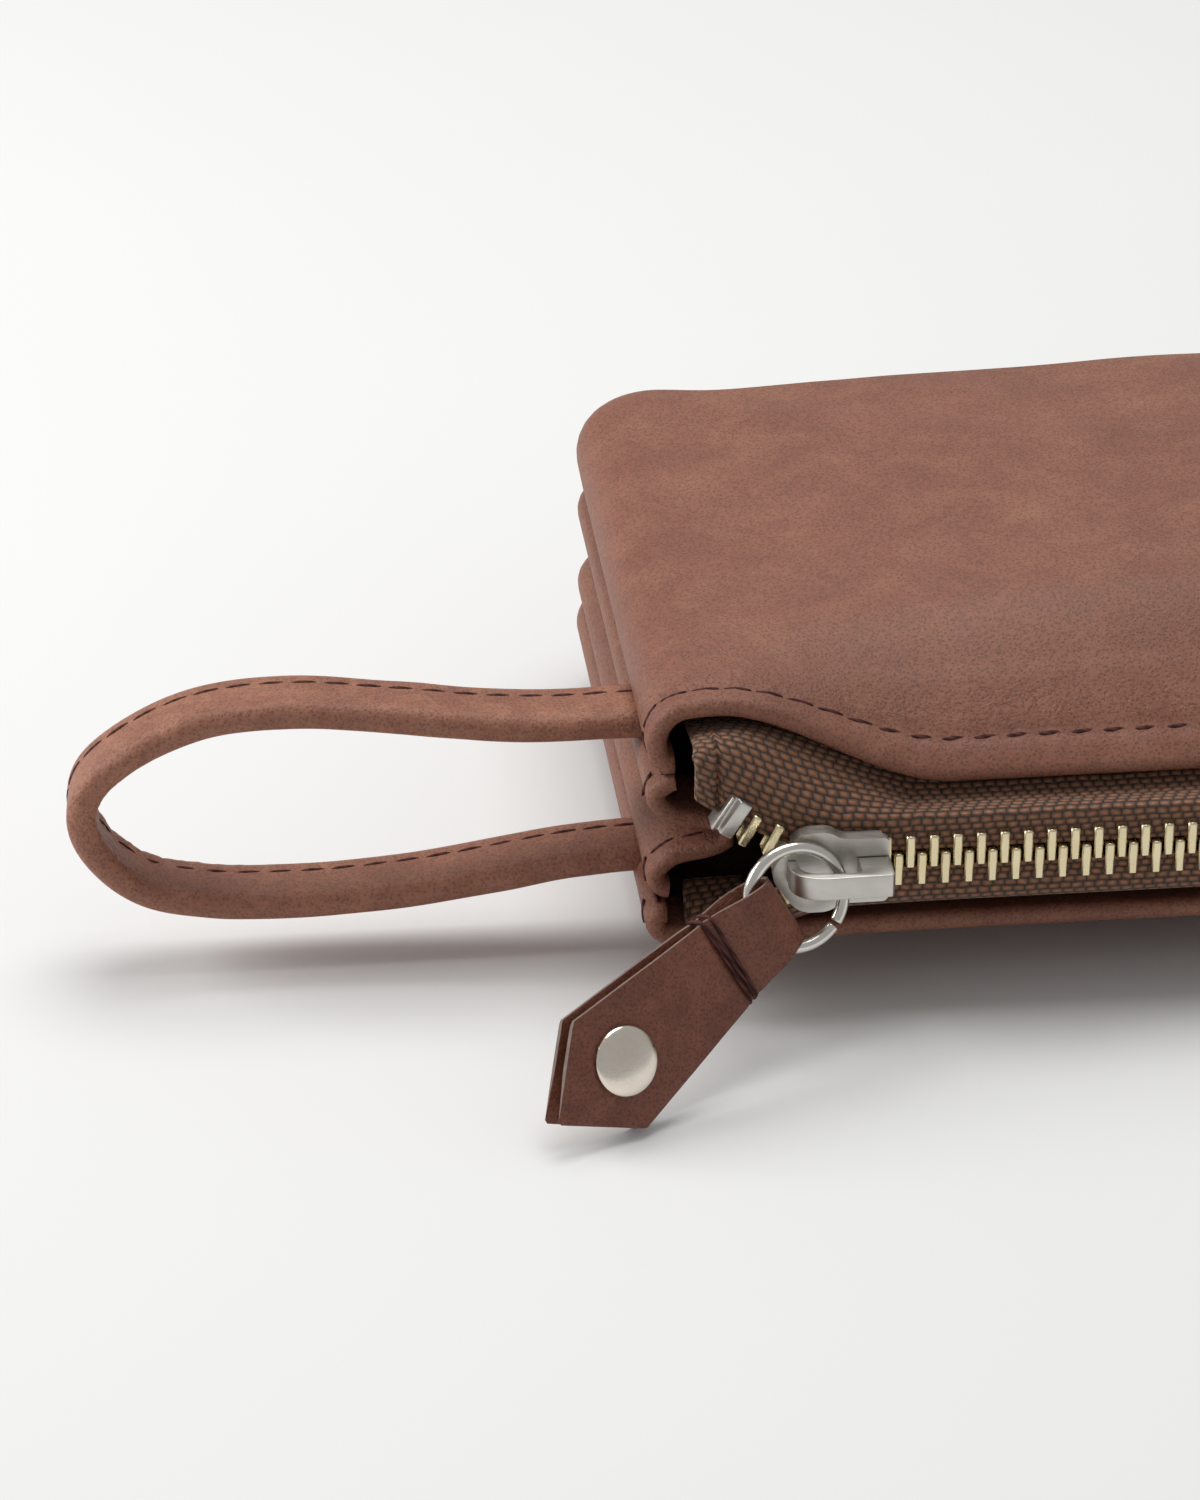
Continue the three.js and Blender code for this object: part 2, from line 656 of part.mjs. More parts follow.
const bottomStopX = chainEnd + bottomStopFromTooth;
const bottomStopHalf = bottomStopLength / 2;
const bottomStop = blockSolid(
  new THREE.Vector3(bottomStopX - bottomStopHalf, chainY - stopDepth / 2, chainZ - stopRoot),
  new THREE.Vector3(bottomStopX + bottomStopHalf, chainY + stopDepth / 2, chainZ + stopRoot),
);
const bottomSlotHalf = tapeThickness / 2 + bottomSlotClear;
const tapeSlots = [-1, 1].map((up) =>
  placed(
    rowFrame(bottomStopX, up),
    new THREE.Vector3(-bottomStopLength, -bottomSlotHalf, beadOuter),
    new THREE.Vector3(bottomStopLength, bottomSlotHalf, stopRoot + cutPast),
  ),
);
addMesh("bottom_stop", toGeometry(bottomStop.subtract(joined(tapeSlots))), nickel);

// ---------- slider ----------
const plateInner = toothDepth / 2 + runGap;
const plateOuter = plateInner + plateThickness;
const tapeSlotHalf = tapeThickness / 2 + runGap;

// The outline of the slider's plates: wide at the nose, where the rows part, and narrow at the tail.
function sliderOutline(inset) {
  const shape = new THREE.Shape();
  const nose = sliderNoseHalf - inset;
  const tail = sliderTailHalf - inset;
  const half = [
    [0, noseFlatHalf - inset / 2],
    [wingStart, nose],
    [wingEnd, nose],
    [tailStart, tail],
    [sliderLength, tail],
  ];
  half.forEach(([x, z], k) => (k ? shape.lineTo(x, z) : shape.moveTo(x, z)));
  [...half].reverse().forEach(([x, z]) => shape.lineTo(x, -z));
  shape.closePath();
  return shape;
}

// Stands a flat outline, drawn in x and z, up in the plane of the zip between two depths.
function plateSolid(shape, lowY, highY) {
  const geometry = new THREE.ExtrudeGeometry(shape, { depth: highY - lowY, bevelEnabled: false });
  const stand = new THREE.Matrix4().makeRotationX(Math.PI / 2);
  const move = new THREE.Matrix4().makeTranslation(sliderNoseX, chainY + highY, chainZ);
  return toSolid(geometry, move.multiply(stand));
}

const plates = [
  plateSolid(sliderOutline(0), -plateOuter, -plateInner),
  plateSolid(sliderOutline(0), plateInner, plateOuter),
];
const weld = 0.2; // how far joined solids run into each other
const sideCut = 2 * sliderNoseHalf;
const flangeRing = plateSolid(sliderOutline(0), -plateInner - weld, plateInner + weld)
  .subtract(plateSolid(sliderOutline(flangeThickness), -plateOuter, plateOuter));
const channel = blockSolid(
  new THREE.Vector3(sliderNoseX - cutPast, chainY - tapeSlotHalf, chainZ - sideCut),
  new THREE.Vector3(sliderNoseX + sliderLength + cutPast, chainY + tapeSlotHalf, chainZ + sideCut),
);
const mouthCut = blockSolid(
  new THREE.Vector3(sliderNoseX - cutPast, chainY - plateInner, chainZ - sideCut),
  new THREE.Vector3(sliderNoseX + mouthOpenLength, chainY + plateInner, chainZ + sideCut),
);
const tailCutX = sliderNoseX + sliderLength - flangeThickness - weld;
const tailCut = blockSolid(
  new THREE.Vector3(tailCutX, chainY - plateInner, chainZ - tailOpenHalf),
  new THREE.Vector3(sliderNoseX + sliderLength + cutPast, chainY + plateInner, chainZ + tailOpenHalf),
);
const wedge = new THREE.Shape();
wedge.moveTo(0, postHalf);
wedge.lineTo(postLength, postTipHalf);
wedge.lineTo(postLength, -postTipHalf);
wedge.lineTo(0, -postHalf);
wedge.closePath();
const post = plateSolid(wedge, -plateInner - weld, plateInner + weld);
const flanges = flangeRing.subtract(channel).subtract(mouthCut).subtract(tailCut);
const ringHook = new THREE.Vector3(
  sliderNoseX + ringHookX,
  chainY - plateOuter - capHeight + capThickness + ringWire / 2 + ringHookClear,
  chainZ + ringHookZ,
);
addMesh("slider_body", toGeometry(joined([...plates, flanges, post])), nickel);

// The cap is a strip arched over the ring, with a foot at each end.
const capStart = capNoseOffset;
const capEnd = sliderLength;
const capInside = capHeight - capThickness;
const capShape = new THREE.Shape();
capShape.moveTo(capStart, fitGap);
capShape.quadraticCurveTo(capStart, capHeight - capCorner, capStart + capNoseRound, capHeight);
capShape.lineTo(capEnd - capCorner, capHeight);
capShape.lineTo(capEnd, capHeight - capCorner);
capShape.lineTo(capEnd, fitGap);
capShape.lineTo(capEnd - capThickness, fitGap);
capShape.lineTo(capEnd - capThickness, capInside);
capShape.lineTo(capStart + capNoseRound, capInside);
capShape.quadraticCurveTo(capStart + capThickness, capInside, capStart + capThickness, fitGap);
capShape.closePath();
const capGeometry = new THREE.ExtrudeGeometry(capShape, {
  depth: capWidth,
  bevelEnabled: false,
  curveSegments: 4,
});
const capPlace = new THREE.Matrix4().makeBasis(
  new THREE.Vector3(1, 0, 0),
  new THREE.Vector3(0, -1, 0),
  new THREE.Vector3(0, 0, -1),
);
capPlace.setPosition(sliderNoseX, chainY - plateOuter, chainZ + capRaise + capWidth / 2);
addMesh("slider_cap", toGeometry(toSolid(capGeometry, capPlace)), nickel);

// The lock spring is a leaf under the cap's tail, whose point goes down to the teeth.
const springShape = new THREE.Shape();
const springRight = capEnd - capThickness - fitGap;
const springLeft = springRight - springReach;
const springTop = capInside - fitGap;
springShape.moveTo(springLeft, springTop);
springShape.lineTo(springRight, springTop);
springShape.lineTo(springRight, fitGap);
springShape.lineTo(springRight - springThickness, fitGap);
springShape.lineTo(springRight - springThickness, springTop - springThickness);
springShape.lineTo(springLeft, springTop - springThickness);
springShape.closePath();
const springGeometry = new THREE.ExtrudeGeometry(springShape, { depth: springWidth, bevelEnabled: false });
const springPlace = capPlace.clone();
springPlace.setPosition(sliderNoseX, chainY - plateOuter, chainZ + capRaise + springWidth / 2);
addMesh("lock_spring", toGeometry(toSolid(springGeometry, springPlace)), nickel);

// ---------- ring ----------
const ringRadius = (ringOuter - ringWire) / 2;
const ringNormal = new THREE.Vector3(
  Math.sin(ringYaw) * Math.cos(ringTilt),
  -Math.cos(ringYaw) * Math.cos(ringTilt),
  Math.sin(ringTilt),
);
const ringUp = new THREE.Vector3(0, 0, 1).addScaledVector(ringNormal, -ringNormal.z).normalize();
const ringRight = new THREE.Vector3().crossVectors(ringUp, ringNormal);

function onRing(angle) {
  return new THREE.Vector3()
    .addScaledVector(ringRight, ringRadius * Math.cos(angle))
    .addScaledVector(ringUp, ringRadius * Math.sin(angle));
}

const ringMiddle = ringHook.clone().sub(onRing(ringHang));
const ringPoints = [];
const ringStations = 32;
const splitHalf = ringSplitGap / 2 / ringRadius;
for (let k = 0; k <= ringStations; k++) {
  const turn = THREE.MathUtils.lerp(splitHalf, 2 * Math.PI - splitHalf, k / ringStations);
  ringPoints.push(ringMiddle.clone().add(onRing(ringSplit + turn)));
}
const ringFacets = 5; // of each half of the wire
addMesh("pull_ring", tube(ringPoints, ringWire / 2, ringFacets, ringStations + 2), nickel);

// ---------- leather pull ----------
// Its own frame: x along the tab from the ring's wire to the tip, y across it along the wire, z through it.
const wire = new THREE.Vector3()
  .addScaledVector(ringRight, -Math.sin(pullAngle))
  .addScaledVector(ringUp, Math.cos(pullAngle));
const away = onRing(pullAngle).normalize();
const pullAlong = away
  .clone()
  .multiplyScalar(Math.cos(pullLean))
  .addScaledVector(ringNormal, Math.sin(pullLean));
const pullFace = new THREE.Vector3().crossVectors(pullAlong, wire);
const pullPlace = new THREE.Matrix4().makeBasis(pullAlong, wire, pullFace);
const pullOrigin = ringMiddle.clone().add(onRing(pullAngle));
pullPlace.setPosition(pullOrigin);
const pullTip = pullLength - pullLoopBack;
const halfPull = pullThickness / 2;
const halfLoop = pullLoopHeight + pullLayer;

const pullOutline = new THREE.Shape();
pullOutline.moveTo(-pullLoopBack - cutPast, -pullFoldWidth / 2);
pullOutline.lineTo(0, -pullFoldWidth / 2);
pullOutline.lineTo(pullNeckAt, -pullNeckWidth / 2);
pullOutline.lineTo(pullTip - pullTipLength, -pullShoulderWidth / 2);
pullOutline.lineTo(pullTip, 0);
pullOutline.lineTo(pullTip - pullTipLength, pullShoulderWidth / 2);
pullOutline.lineTo(pullNeckAt, pullNeckWidth / 2);
pullOutline.lineTo(0, pullFoldWidth / 2);
pullOutline.lineTo(-pullLoopBack - cutPast, pullFoldWidth / 2);
pullOutline.closePath();

// Seen from the side: a loop round the wire that closes to two layers at the bar tack.
const pullSide = new THREE.Shape();
const neckStart = pullNeckAt - loopFront;
const foldRise = halfLoop * 0.6; // how squarely the fold turns
pullSide.moveTo(pullTip + cutPast, halfPull);
pullSide.lineTo(pullNeckAt, halfPull);
pullSide.bezierCurveTo(neckStart, halfPull, loopFront, halfLoop, -loopTop, halfLoop);
pullSide.bezierCurveTo(-loopShoulder, halfLoop, -pullLoopBack, foldRise, -pullLoopBack, 0);
pullSide.bezierCurveTo(-pullLoopBack, -foldRise, -loopShoulder, -halfLoop, -loopTop, -halfLoop);
pullSide.bezierCurveTo(loopFront, -halfLoop, neckStart, -halfPull, pullNeckAt, -halfPull);
pullSide.lineTo(pullTip + cutPast, -halfPull);
pullSide.closePath();

const pullHollow = new THREE.Shape();
const hollowBack = pullLoopBack - pullLayer;
pullHollow.moveTo(hollowFront, hollowFrontHalf);
pullHollow.lineTo(hollowFlatFront, pullLoopHeight);
pullHollow.lineTo(-hollowFlatBack, pullLoopHeight);
pullHollow.quadraticCurveTo(-hollowBack, pullLoopHeight, -hollowBack, 0);
pullHollow.quadraticCurveTo(-hollowBack, -pullLoopHeight, -hollowFlatBack, -pullLoopHeight);
pullHollow.lineTo(hollowFlatFront, -pullLoopHeight);
pullHollow.lineTo(hollowFront, -hollowFrontHalf);
pullHollow.closePath();

function acrossPull(shape) {
  const depth = 2 * pullShoulderWidth;
  const geometry = new THREE.ExtrudeGeometry(shape, { depth, bevelEnabled: false, curveSegments: 5 });
  return toSolid(geometry.translate(0, 0, -depth / 2).rotateX(Math.PI / 2));
}

const flatDepth = 4 * halfLoop; // taller than the loop
const pullFlat = new THREE.ExtrudeGeometry(pullOutline, { depth: flatDepth, bevelEnabled: false });
const rivetX = pullTip - rivetFromTip;
const rivetHoleRadius = rivetPostDiameter / 2 + fitGap;
const rivetHole = new THREE.CylinderGeometry(rivetHoleRadius, rivetHoleRadius, flatDepth, 12)
  .rotateX(Math.PI / 2)
  .translate(rivetX, 0, 0);
const pullSolid = toSolid(pullFlat.translate(0, 0, -flatDepth / 2))
  .intersect(acrossPull(pullSide))
  .subtract(acrossPull(pullHollow))
  .subtract(toSolid(rivetHole));
const pullTab = addMesh("pull_tab", toGeometry(pullSolid), darkLeather);
pullTab.applyMatrix4(pullPlace);

// The bar tack binds the two layers at the neck.
const tackStart = pullNeckAt + tackFromNeck;
const tackEnd = tackStart + tackWidth;
const tackInnerY = pullNeckWidth / 2 + tackSideClear;
const tackInnerZ = halfPull + fitGap;
const tackOuterY = tackInnerY + tackThickness;
const tackOuterZ = tackInnerZ + tackThickness;
const tackOuter = blockSolid(
  new THREE.Vector3(tackStart, -tackOuterY, -tackOuterZ),
  new THREE.Vector3(tackEnd, tackOuterY, tackOuterZ),
);
const tackInner = blockSolid(
  new THREE.Vector3(tackStart - cutPast, -tackInnerY, -tackInnerZ),
  new THREE.Vector3(tackEnd + cutPast, tackInnerY, tackInnerZ),
);
const barTack = addMesh("pull_bar_tack", toGeometry(tackOuter.subtract(tackInner)), thread);
barTack.applyMatrix4(pullPlace);

function lathe(profile, sides) {
  const points = profile.map(([r, z]) => new THREE.Vector2(r, z));
  return new THREE.LatheGeometry(points, sides).rotateX(Math.PI / 2);
}

const capRadius = rivetDiameter / 2;
const capBase = halfPull + fitGap;
const rivetCap = addMesh(
  "pull_rivet_cap",
  lathe(
    [
      [0, capBase],
      [capRadius - 0.2, capBase],
      [capRadius, capBase + 0.2],
      [capRadius * 0.8, capBase + rivetDome * 0.62],
      [capRadius * 0.45, capBase + rivetDome * 0.92],
      [0, capBase + rivetDome],
    ],
    20,
  ),
  brightNickel,
);
const postRadius = rivetPostDiameter / 2;
const rivetPost = addMesh(
  "pull_rivet_post",
  lathe(
    [
      [0, -capBase - rivetFootHeight],
      [capRadius - 2 * rivetFootInset, -capBase - rivetFootHeight],
      [capRadius - rivetFootInset, -capBase],
      [postRadius, -capBase],
      [postRadius, capBase - fitGap],
      [0, capBase - fitGap],
    ],
    16,
  ),
  brightNickel,
);
for (const piece of [rivetCap, rivetPost]) {
  piece.position.set(rivetX, 0, 0);
  piece.updateMatrix();
  piece.applyMatrix4(pullPlace);
}

// ---------- wrist strap ----------
// The loop stands in an upright plane; both ends reach the left side seams.
const strapLeft = -halfLength - strapReach;
const strapRoute = [
  [-halfLength - strapRootReach, strapUpperZ],
  [strapPivotX - 4, strapUpperZ - 0.3],
  [-halfLength - 16, strapUpperZ + 0.1],
  [strapLeft + 34, strapUpperZ + 1.6],
  [strapLeft + 22, strapUpperZ + 3.0],
  [strapLeft + 13, strapUpperZ + 2.2],
  [strapLeft + 5.5, strapUpperZ - 1.2],
  [strapLeft + 1.0, strapUpperZ - 5.2],
  [strapLeft, (strapUpperZ + strapLowerZ) / 2 - 0.4],
  [strapLeft + 1.6, strapLowerZ + 3.4],
  [strapLeft + 6, strapLowerZ - 1.2],
  [strapLeft + 13, strapLowerZ - 3.1],
  [strapLeft + 22, strapLowerZ - 3.7],
  [strapLeft + 34, strapLowerZ - 3.1],
  [-halfLength - 15, strapLowerZ - 1.6],
  [strapPivotX - 3, strapLowerZ - 0.4],
  [-halfLength - strapRootReach, strapLowerZ],
].map(([x, z]) => new THREE.Vector3(x, strapY, z));
const strapSection = new THREE.Shape();
const strapEdge = strapThickness / 2;
const strapHalf = strapWidth / 2;
strapSection.moveTo(-strapHalf + strapEdgeStep, -strapEdge + strapEdgePress);
strapSection.lineTo(strapHalf - strapEdge, -strapEdge);
strapSection.absarc(strapHalf - strapEdge, 0, strapEdge, -Math.PI / 2, Math.PI / 2, false);
strapSection.lineTo(-strapHalf + strapEdgeStep, strapEdge - strapEdgePress);
strapSection.lineTo(-strapHalf, strapEdge - strapEdgeBevel);
strapSection.lineTo(-strapHalf, -strapEdge + strapEdgeBevel);
strapSection.closePath();
const strapGeometry = new THREE.ExtrudeGeometry(strapSection, {
  steps: 36,
  curveSegments: 3,
  bevelEnabled: false,
  extrudePath: new THREE.CatmullRomCurve3(strapRoute, false, "centripetal"),
});
// The ends are rounded about the pivot, so that the strap swings clear of the side.
const strapRoom = 2 * upperSeamZ; // more than the strap's height
const strapEnd = new THREE.CylinderGeometry(strapHalf, strapHalf, strapRoom, 20)
  .rotateX(Math.PI / 2)
  .translate(strapPivotX, strapY, valleyZ);
const strapFree = blockSolid(
  new THREE.Vector3(strapLeft - strapWidth, strapY - strapWidth, -strapRoom),
  new THREE.Vector3(strapPivotX, strapY + strapWidth, strapRoom),
);
addMesh(
  "wrist_strap",
  toGeometry(toSolid(strapGeometry).intersect(toSolid(strapEnd).add(strapFree))),
  leather,
);

export default pouch;
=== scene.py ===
# A leather pouch with a metal zip and a wrist strap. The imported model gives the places,
# and this script makes the leather, the cloth, the stitches and the metal around it.
import math

import bmesh
import bpy
from mathutils import Matrix, Vector, noise


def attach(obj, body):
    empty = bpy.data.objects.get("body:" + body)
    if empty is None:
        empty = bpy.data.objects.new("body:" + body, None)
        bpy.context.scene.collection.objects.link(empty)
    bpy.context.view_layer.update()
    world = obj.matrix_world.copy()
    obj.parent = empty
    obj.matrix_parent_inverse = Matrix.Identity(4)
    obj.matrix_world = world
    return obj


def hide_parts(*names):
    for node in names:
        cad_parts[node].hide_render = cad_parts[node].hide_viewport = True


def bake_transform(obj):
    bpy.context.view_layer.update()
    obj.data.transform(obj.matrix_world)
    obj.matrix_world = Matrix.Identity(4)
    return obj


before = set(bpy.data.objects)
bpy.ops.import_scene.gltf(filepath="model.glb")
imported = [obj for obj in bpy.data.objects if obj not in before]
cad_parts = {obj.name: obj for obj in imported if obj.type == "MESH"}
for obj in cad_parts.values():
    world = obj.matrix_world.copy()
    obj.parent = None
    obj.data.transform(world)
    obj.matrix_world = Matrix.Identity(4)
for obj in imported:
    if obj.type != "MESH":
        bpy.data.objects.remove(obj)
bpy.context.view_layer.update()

mm = 0.001  # shapes are worked out in millimetres and scaled when a piece is finished

studio = {
    "eye": (-160.3, -567.6, 307.0),
    "turn": 6.0,  # degrees to the right of straight ahead
    "dip": 27.5,  # degrees down
    "lens": 131.8,
    "floorSize": 6000,
    "floorColour": "e2e2e1",
    "sky": 0.42,
    "lights": [  # place, size and watts
        ("overheadLight", (-60, 180, 900), 700, 4.7),
        ("leftLight", (-800, 120, 420), 500, 4.2),
    ],
}


def hexColour(code):
    channels = [int(code[k:k + 2], 16) / 255 for k in (0, 2, 4)]
    linear = [c / 12.92 if c <= 0.04045 else ((c + 0.055) / 1.055) ** 2.4 for c in channels]
    return (*linear, 1.0)


def link(thing):
    bpy.context.scene.collection.objects.link(thing)
    return thing


def setUpStudio():
    turn = math.radians(studio["turn"])
    dip = math.radians(studio["dip"])
    ahead = Vector((math.sin(turn) * math.cos(dip), math.cos(turn) * math.cos(dip), -math.sin(dip)))
    camera = link(bpy.data.objects.new("camera", bpy.data.cameras.new("camera")))
    camera.data.lens = studio["lens"]
    camera.data.clip_start = 0.01
    camera.location = Vector(studio["eye"]) * mm
    camera.rotation_euler = ahead.to_track_quat("-Z", "Y").to_euler()
    bpy.context.scene.camera = camera

    for name, place, size, watts in studio["lights"]:
        lamp = link(bpy.data.objects.new(name, bpy.data.lights.new(name, "AREA")))
        lamp.data.shape = "DISK"
        lamp.data.size = size * mm
        lamp.data.energy = watts
        lamp.location = Vector(place) * mm
        lamp.rotation_euler = (-lamp.location).to_track_quat("-Z", "Y").to_euler()

    world = bpy.data.worlds.new("studioAir")
    world.use_nodes = True
    world.node_tree.nodes["Background"].inputs["Color"].default_value = (1, 1, 1, 1)
    world.node_tree.nodes["Background"].inputs["Strength"].default_value = studio["sky"]
    bpy.context.scene.world = world
    bpy.context.scene.view_settings.view_transform = "Standard"


setUpStudio()
print("studio: camera and lights")


# Adds a node with its settings. An input may be a value, a socket, or a node, which gives its main output.
def addNode(material, kind, inputs=None, **settings):
    tree = material.node_tree
    node = tree.nodes.new("ShaderNode" + kind)
    for name, value in settings.items():
        setattr(node, name, value)
    for name, value in (inputs or {}).items():
        if isinstance(value, bpy.types.Node):
            value = value.outputs[2 if value.bl_idname == "ShaderNodeMix" else 0]
        if isinstance(value, bpy.types.NodeSocket):
            tree.links.new(value, node.inputs[name])
        else:
            node.inputs[name].default_value = value
    return node


def startMaterial(name):
    material = bpy.data.materials.new(name)
    material.use_nodes = True
    material.node_tree.nodes.clear()
    return material


def finishMaterial(material, inputs):
    surface = addNode(material, "BsdfPrincipled", inputs)
    addNode(material, "OutputMaterial", {"Surface": surface})
    return material


hide = {  # what all the leathers share: sizes and depths in millimetres
    "wander": 2.2,  # the grain's lines wander over this distance
    "wanderReach": 0.5,
    "nap": 0.35,
    "fold": 1.5,  # fine folds where the leather is creased
    "grainDepth": 0.09,
    "foldDepth": 0.18,
    "foldStrength": 0.55,
    "veinWidth": 0.05,
    "veinShade": 0.55,
    "glossSpread": (-0.06, 0.08),
}


# Full-grain cow leather, drum dyed and waxed: cloudy colour, fine pores, and a soft sheen
# that the wax leaves uneven.
def makeLeather(name, look):
    m = startMaterial(name)
    place = addNode(m, "TexCoord").outputs["Object"]
    cloud = addNode(m, "TexNoise", {
        "Vector": place, "Scale": 1 / (look["cloud"] * mm), "Detail": 4.0, "Roughness": 0.55})
    streak = addNode(m, "TexNoise", {
        "Vector": place, "Scale": 1 / (look["streak"] * mm), "Detail": 5.0, "Roughness": 0.6,
        "Distortion": 0.6})
    bend = addNode(m, "TexNoise", {"Vector": place, "Scale": 1 / (hide["wander"] * mm), "Detail": 2.0})
    push = addNode(m, "VectorMath", {
        0: bend.outputs["Color"], "Scale": hide["wanderReach"] * mm}, operation="SCALE")
    bent = addNode(m, "VectorMath", {0: place, 1: push}, operation="ADD")
    pore = addNode(m, "TexVoronoi", {"Vector": bent, "Scale": 1 / (look["pore"] * mm)})
    vein = addNode(m, "TexNoise", {
        "Vector": bent, "Scale": 1 / (look["vein"] * mm), "Detail": 2.0, "Distortion": 0.8})
    veinSide = addNode(m, "Math", {0: vein, 1: 0.5}, operation="SUBTRACT")
    veinReach = addNode(m, "Math", {0: veinSide}, operation="ABSOLUTE")
    nap = addNode(m, "TexNoise", {"Vector": place, "Scale": 1 / (hide["nap"] * mm), "Detail": 3.0})
    crease = addNode(m, "Attribute", attribute_name="crease").outputs["Fac"]
    fold = addNode(m, "TexNoise", {
        "Vector": bent, "Scale": 1 / (hide["fold"] * mm), "Detail": 2.0, "Distortion": 1.4})
    foldLine = addNode(m, "MapRange", {
        "Value": fold, "From Min": 0.40, "From Max": 0.52}, interpolation_type="SMOOTHSTEP")

    pit = addNode(m, "MapRange", {"Value": pore, "From Min": 0.08, "From Max": 0.52})
    line = addNode(m, "MapRange", {
        "Value": veinReach, "From Min": 0.0, "From Max": hide["veinWidth"], "To Min": hide["veinShade"]})
    base = addNode(m, "Mix", {
        0: cloud, 6: hexColour(look["deep"]), 7: hexColour(look["light"])}, data_type="RGBA")
    streakShare = addNode(m, "MapRange", {
        "Value": streak, "From Min": 0.42, "From Max": 0.75, "To Max": look["streaks"]})
    worn = addNode(m, "Mix", {0: streakShare, 6: base, 7: hexColour(look["worn"])}, data_type="RGBA")
    dark = addNode(m, "Math", {0: pit, 1: line}, operation="MULTIPLY")
    darkShare = addNode(m, "MapRange", {"Value": dark, "To Min": look["poreShade"], "To Max": 0.0})
    grained = addNode(m, "Mix", {0: darkShare, 6: worn, 7: hexColour(look["shade"])}, data_type="RGBA")

    height = addNode(m, "Math", {0: dark, 1: nap, 2: 0.35}, operation="MULTIPLY_ADD")
    foldHeight = addNode(m, "Math", {0: foldLine, 1: crease}, operation="MULTIPLY")
    grainBump = addNode(m, "Bump", {
        "Height": height, "Strength": look["relief"], "Distance": hide["grainDepth"] * mm})
    foldBump = addNode(m, "Bump", {
        "Height": foldHeight, "Strength": hide["foldStrength"], "Distance": hide["foldDepth"] * mm,
        "Normal": grainBump})
    duller, glossier = (look["rough"] + d for d in hide["glossSpread"][::-1])
    gloss = addNode(m, "MapRange", {
        "Value": streak, "From Min": 0.3, "From Max": 0.7, "To Min": glossier, "To Max": duller})
    return finishMaterial(m, {
        "Base Color": grained, "Roughness": gloss, "Normal": foldBump, "Specular IOR Level": look["shine"]})


saddleLeather = makeLeather("waxedSaddleLeather", {
    "light": "905f4c", "deep": "744636", "worn": "a3755d", "shade": "3f231a",
    "cloud": 30, "streak": 8, "streaks": 0.4, "pore": 0.42, "vein": 0.9, "poreShade": 0.58,
    "relief": 0.6, "rough": 0.54, "shine": 0.38})
strapLeather = makeLeather("waxedStrapLeather", {
    "light": "a06b55", "deep": "7f4f3d", "worn": "b48167", "shade": "40241a",
    "cloud": 14, "streak": 4, "streaks": 0.5, "pore": 0.42, "vein": 0.9, "poreShade": 0.55,
    "relief": 0.6, "rough": 0.52, "shine": 0.4})
pullLeather = makeLeather("darkBridleLeather", {
    "light": "7e4936", "deep": "5d3428", "worn": "986049", "shade": "2b150f",
    "cloud": 9, "streak": 3, "streaks": 0.4, "pore": 0.4, "vein": 0.7, "poreShade": 0.6,
    "relief": 0.55, "rough": 0.47, "shine": 0.42})


# Flesh side of the hide: napped and dull, what shows inside the pouch.
def makeFleshSide():
    m = startMaterial("nappedFleshSide")
    place = addNode(m, "TexCoord").outputs["Object"]
    nap = addNode(m, "TexNoise", {"Vector": place, "Scale": 1 / (0.5 * mm), "Detail": 5.0})
    tone = addNode(m, "Mix", {
        0: nap, 6: hexColour("3a231b"), 7: hexColour("6b4637")}, data_type="RGBA")
    bump = addNode(m, "Bump", {"Height": nap, "Strength": 0.6, "Distance": 0.15 * mm})
    return finishMaterial(m, {"Base Color": tone, "Roughness": 0.95, "Normal": bump})


# Edge paint: two coats of dark acrylic, rubbed down, so it has a dull gloss and faint streaks.
def makeEdgePaint():
    m = startMaterial("rubbedEdgePaint")
    place = addNode(m, "TexCoord").outputs["Object"]
    rub = addNode(m, "TexNoise", {"Vector": place, "Scale": 1 / (1.1 * mm), "Detail": 4.0})
    tone = addNode(m, "Mix", {
        0: rub, 6: hexColour("54443b"), 7: hexColour("877469")}, data_type="RGBA")
    bump = addNode(m, "Bump", {"Height": rub, "Strength": 0.4, "Distance": 0.08 * mm})
    return finishMaterial(m, {"Base Color": tone, "Roughness": 0.42, "Normal": bump})


tapeWeave = {  # in millimetres, where it is a size
    "row": 0.62,
    "strand": 1.3,  # each yarn shows for this length
    "turn": 4,  # rows before the slant turns back
    "slant": 0.3,
    "unevenSize": 1.7,
    "uneven": 0.34,
    "fuzz": 0.7,
    "depth": 0.3,
}


